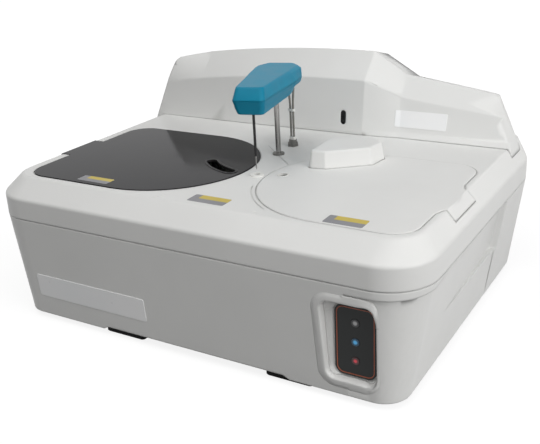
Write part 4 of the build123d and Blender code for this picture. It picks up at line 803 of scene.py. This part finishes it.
# %% Clip
CLIP_FOOT, CLIP_TOP, CLIP_HALF, CLIP_R = 0.3505, 0.3555, 0.0035, 0.0038
ring = []
for side, start in ((1, -90), (-1, 90)):
    for k in range(13):
        a = math.radians(start + 15 * k)
        ring.append(GLAND + X * (side * CLIP_HALF + CLIP_R * math.cos(a)) + Y * CLIP_R * math.sin(a))
count = len(ring)
corners = [p + Z * z for z in (CLIP_FOOT, CLIP_TOP) for p in ring]
faces = [(k, (k + 1) % count, (k + 1) % count + count, k + count) for k in range(count)]
faces += [tuple(reversed(range(count))), tuple(range(count, 2 * count))]
clip = mesh_piece("tube_band", corners, faces, guide_white)
soft = clip.modifiers.new("soft", "BEVEL")
soft.width, soft.segments, soft.limit_method, soft.angle_limit = 0.0006, 2, "ANGLE", math.radians(50)
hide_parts("tube_clip")
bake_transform(clip)
print("clip", len(faces), "faces")

# %% [markdown]
# ## Floor and light
#
# The photograph was cut out on white. A pale floor and a white sky, both only for what the
# camera and mirrors see, give that without lighting the machine. A wide soft box hangs above
# and a second one stands at the right, so the deck and the right side are bright and the front
# wall falls into half shade, as it does in the photograph.

# %% Floor
def seen(finish):
    """1 where the camera, a mirror or clear plastic looks, 0 for scattered light."""
    path = finish.tree.nodes.new("ShaderNodeLightPath")
    looks = [Field(finish, path.outputs[name]) for name in
             ("Is Camera Ray", "Is Glossy Ray", "Is Transmission Ray")]
    both = looks[0].maths("MAXIMUM", looks[0], looks[1])
    return both.maths("MAXIMUM", both, looks[2])


FLOOR_HALF = 9.0
floor_paint = Finish("floor_paint", shader="ShaderNodeMixShader")
lit = floor_paint.add("ShaderNodeBsdfDiffuse", inputs={"Color": (0.22, 0.22, 0.22, 1)})
far = floor_paint.add("ShaderNodeVectorMath", {"operation": "LENGTH"}, {0: floor_paint.place()}, out=1)
strength = floor_paint.step(far, 0.55, 1.3) * 0.14 + 0.86
glow = floor_paint.add("ShaderNodeEmission", inputs={"Color": (1, 1, 1, 1), "Strength": strength})
both = floor_paint.add("ShaderNodeAddShader", inputs={0: lit, 1: glow})
floor_paint.feed(floor_paint.shader.inputs[0], seen(floor_paint))
floor_paint.feed(floor_paint.shader.inputs[1], lit)
floor_paint.feed(floor_paint.shader.inputs[2], both)
floor = mesh_piece("floor", [Vector((x, y, 0)) for x, y in ((-FLOOR_HALF, -FLOOR_HALF), (FLOOR_HALF, -FLOOR_HALF),
                                                            (FLOOR_HALF, FLOOR_HALF), (-FLOOR_HALF, FLOOR_HALF))],
                   [(0, 1, 2, 3)], floor_paint, smooth=False)

# %% Sky and lamps
AMBIENT = 0.17
world = bpy.data.worlds.new("studio")
bpy.context.scene.world = world
world.use_nodes = True
sky = world.node_tree
sky.nodes.clear()
sky_out = sky.nodes.new("ShaderNodeOutputWorld")
chooser = sky.nodes.new("ShaderNodeMixShader")
dim, bright = sky.nodes.new("ShaderNodeBackground"), sky.nodes.new("ShaderNodeBackground")
dim.inputs["Strength"].default_value, bright.inputs["Strength"].default_value = AMBIENT, 1.0
dim.inputs["Color"].default_value = bright.inputs["Color"].default_value = (1, 1, 1, 1)
path = sky.nodes.new("ShaderNodeLightPath")
previous = path.outputs["Is Camera Ray"]
for name in ("Is Glossy Ray", "Is Transmission Ray"):
    either = sky.nodes.new("ShaderNodeMath")
    either.operation = "MAXIMUM"
    sky.links.new(previous, either.inputs[0])
    sky.links.new(path.outputs[name], either.inputs[1])
    previous = either.outputs[0]
sky.links.new(previous, chooser.inputs[0])
sky.links.new(dim.outputs[0], chooser.inputs[1])
sky.links.new(bright.outputs[0], chooser.inputs[2])
sky.links.new(chooser.outputs[0], sky_out.inputs["Surface"])


def soft_box(name, place, aim, width, height, share):
    """An area lamp that lights what faces it at the aim point to share of full white."""
    data = bpy.data.lights.new(name, "AREA")
    data.shape, data.size, data.size_y = "RECTANGLE", width, height
    reach = (place - aim).length
    data.energy = share * math.pi ** 2 * reach ** 2
    lamp = bpy.data.objects.new(name, data)
    lamp.location = place
    lamp.rotation_euler = (aim - place).to_track_quat("-Z", "Y").to_euler()
    bpy.context.scene.collection.objects.link(lamp)
    print("lamp", name, round(data.energy, 1), "W")


AIM = Vector((0.0, 0.0, 0.25))
soft_box("overhead", Vector((0.1, -1.05, 3.0)), AIM, 3.0, 2.4, 0.57)
soft_box("from_right", Vector((3.0, -0.85, 1.35)), AIM, 2.2, 1.8, 0.54)
bpy.context.scene.view_settings.view_transform = "Standard"
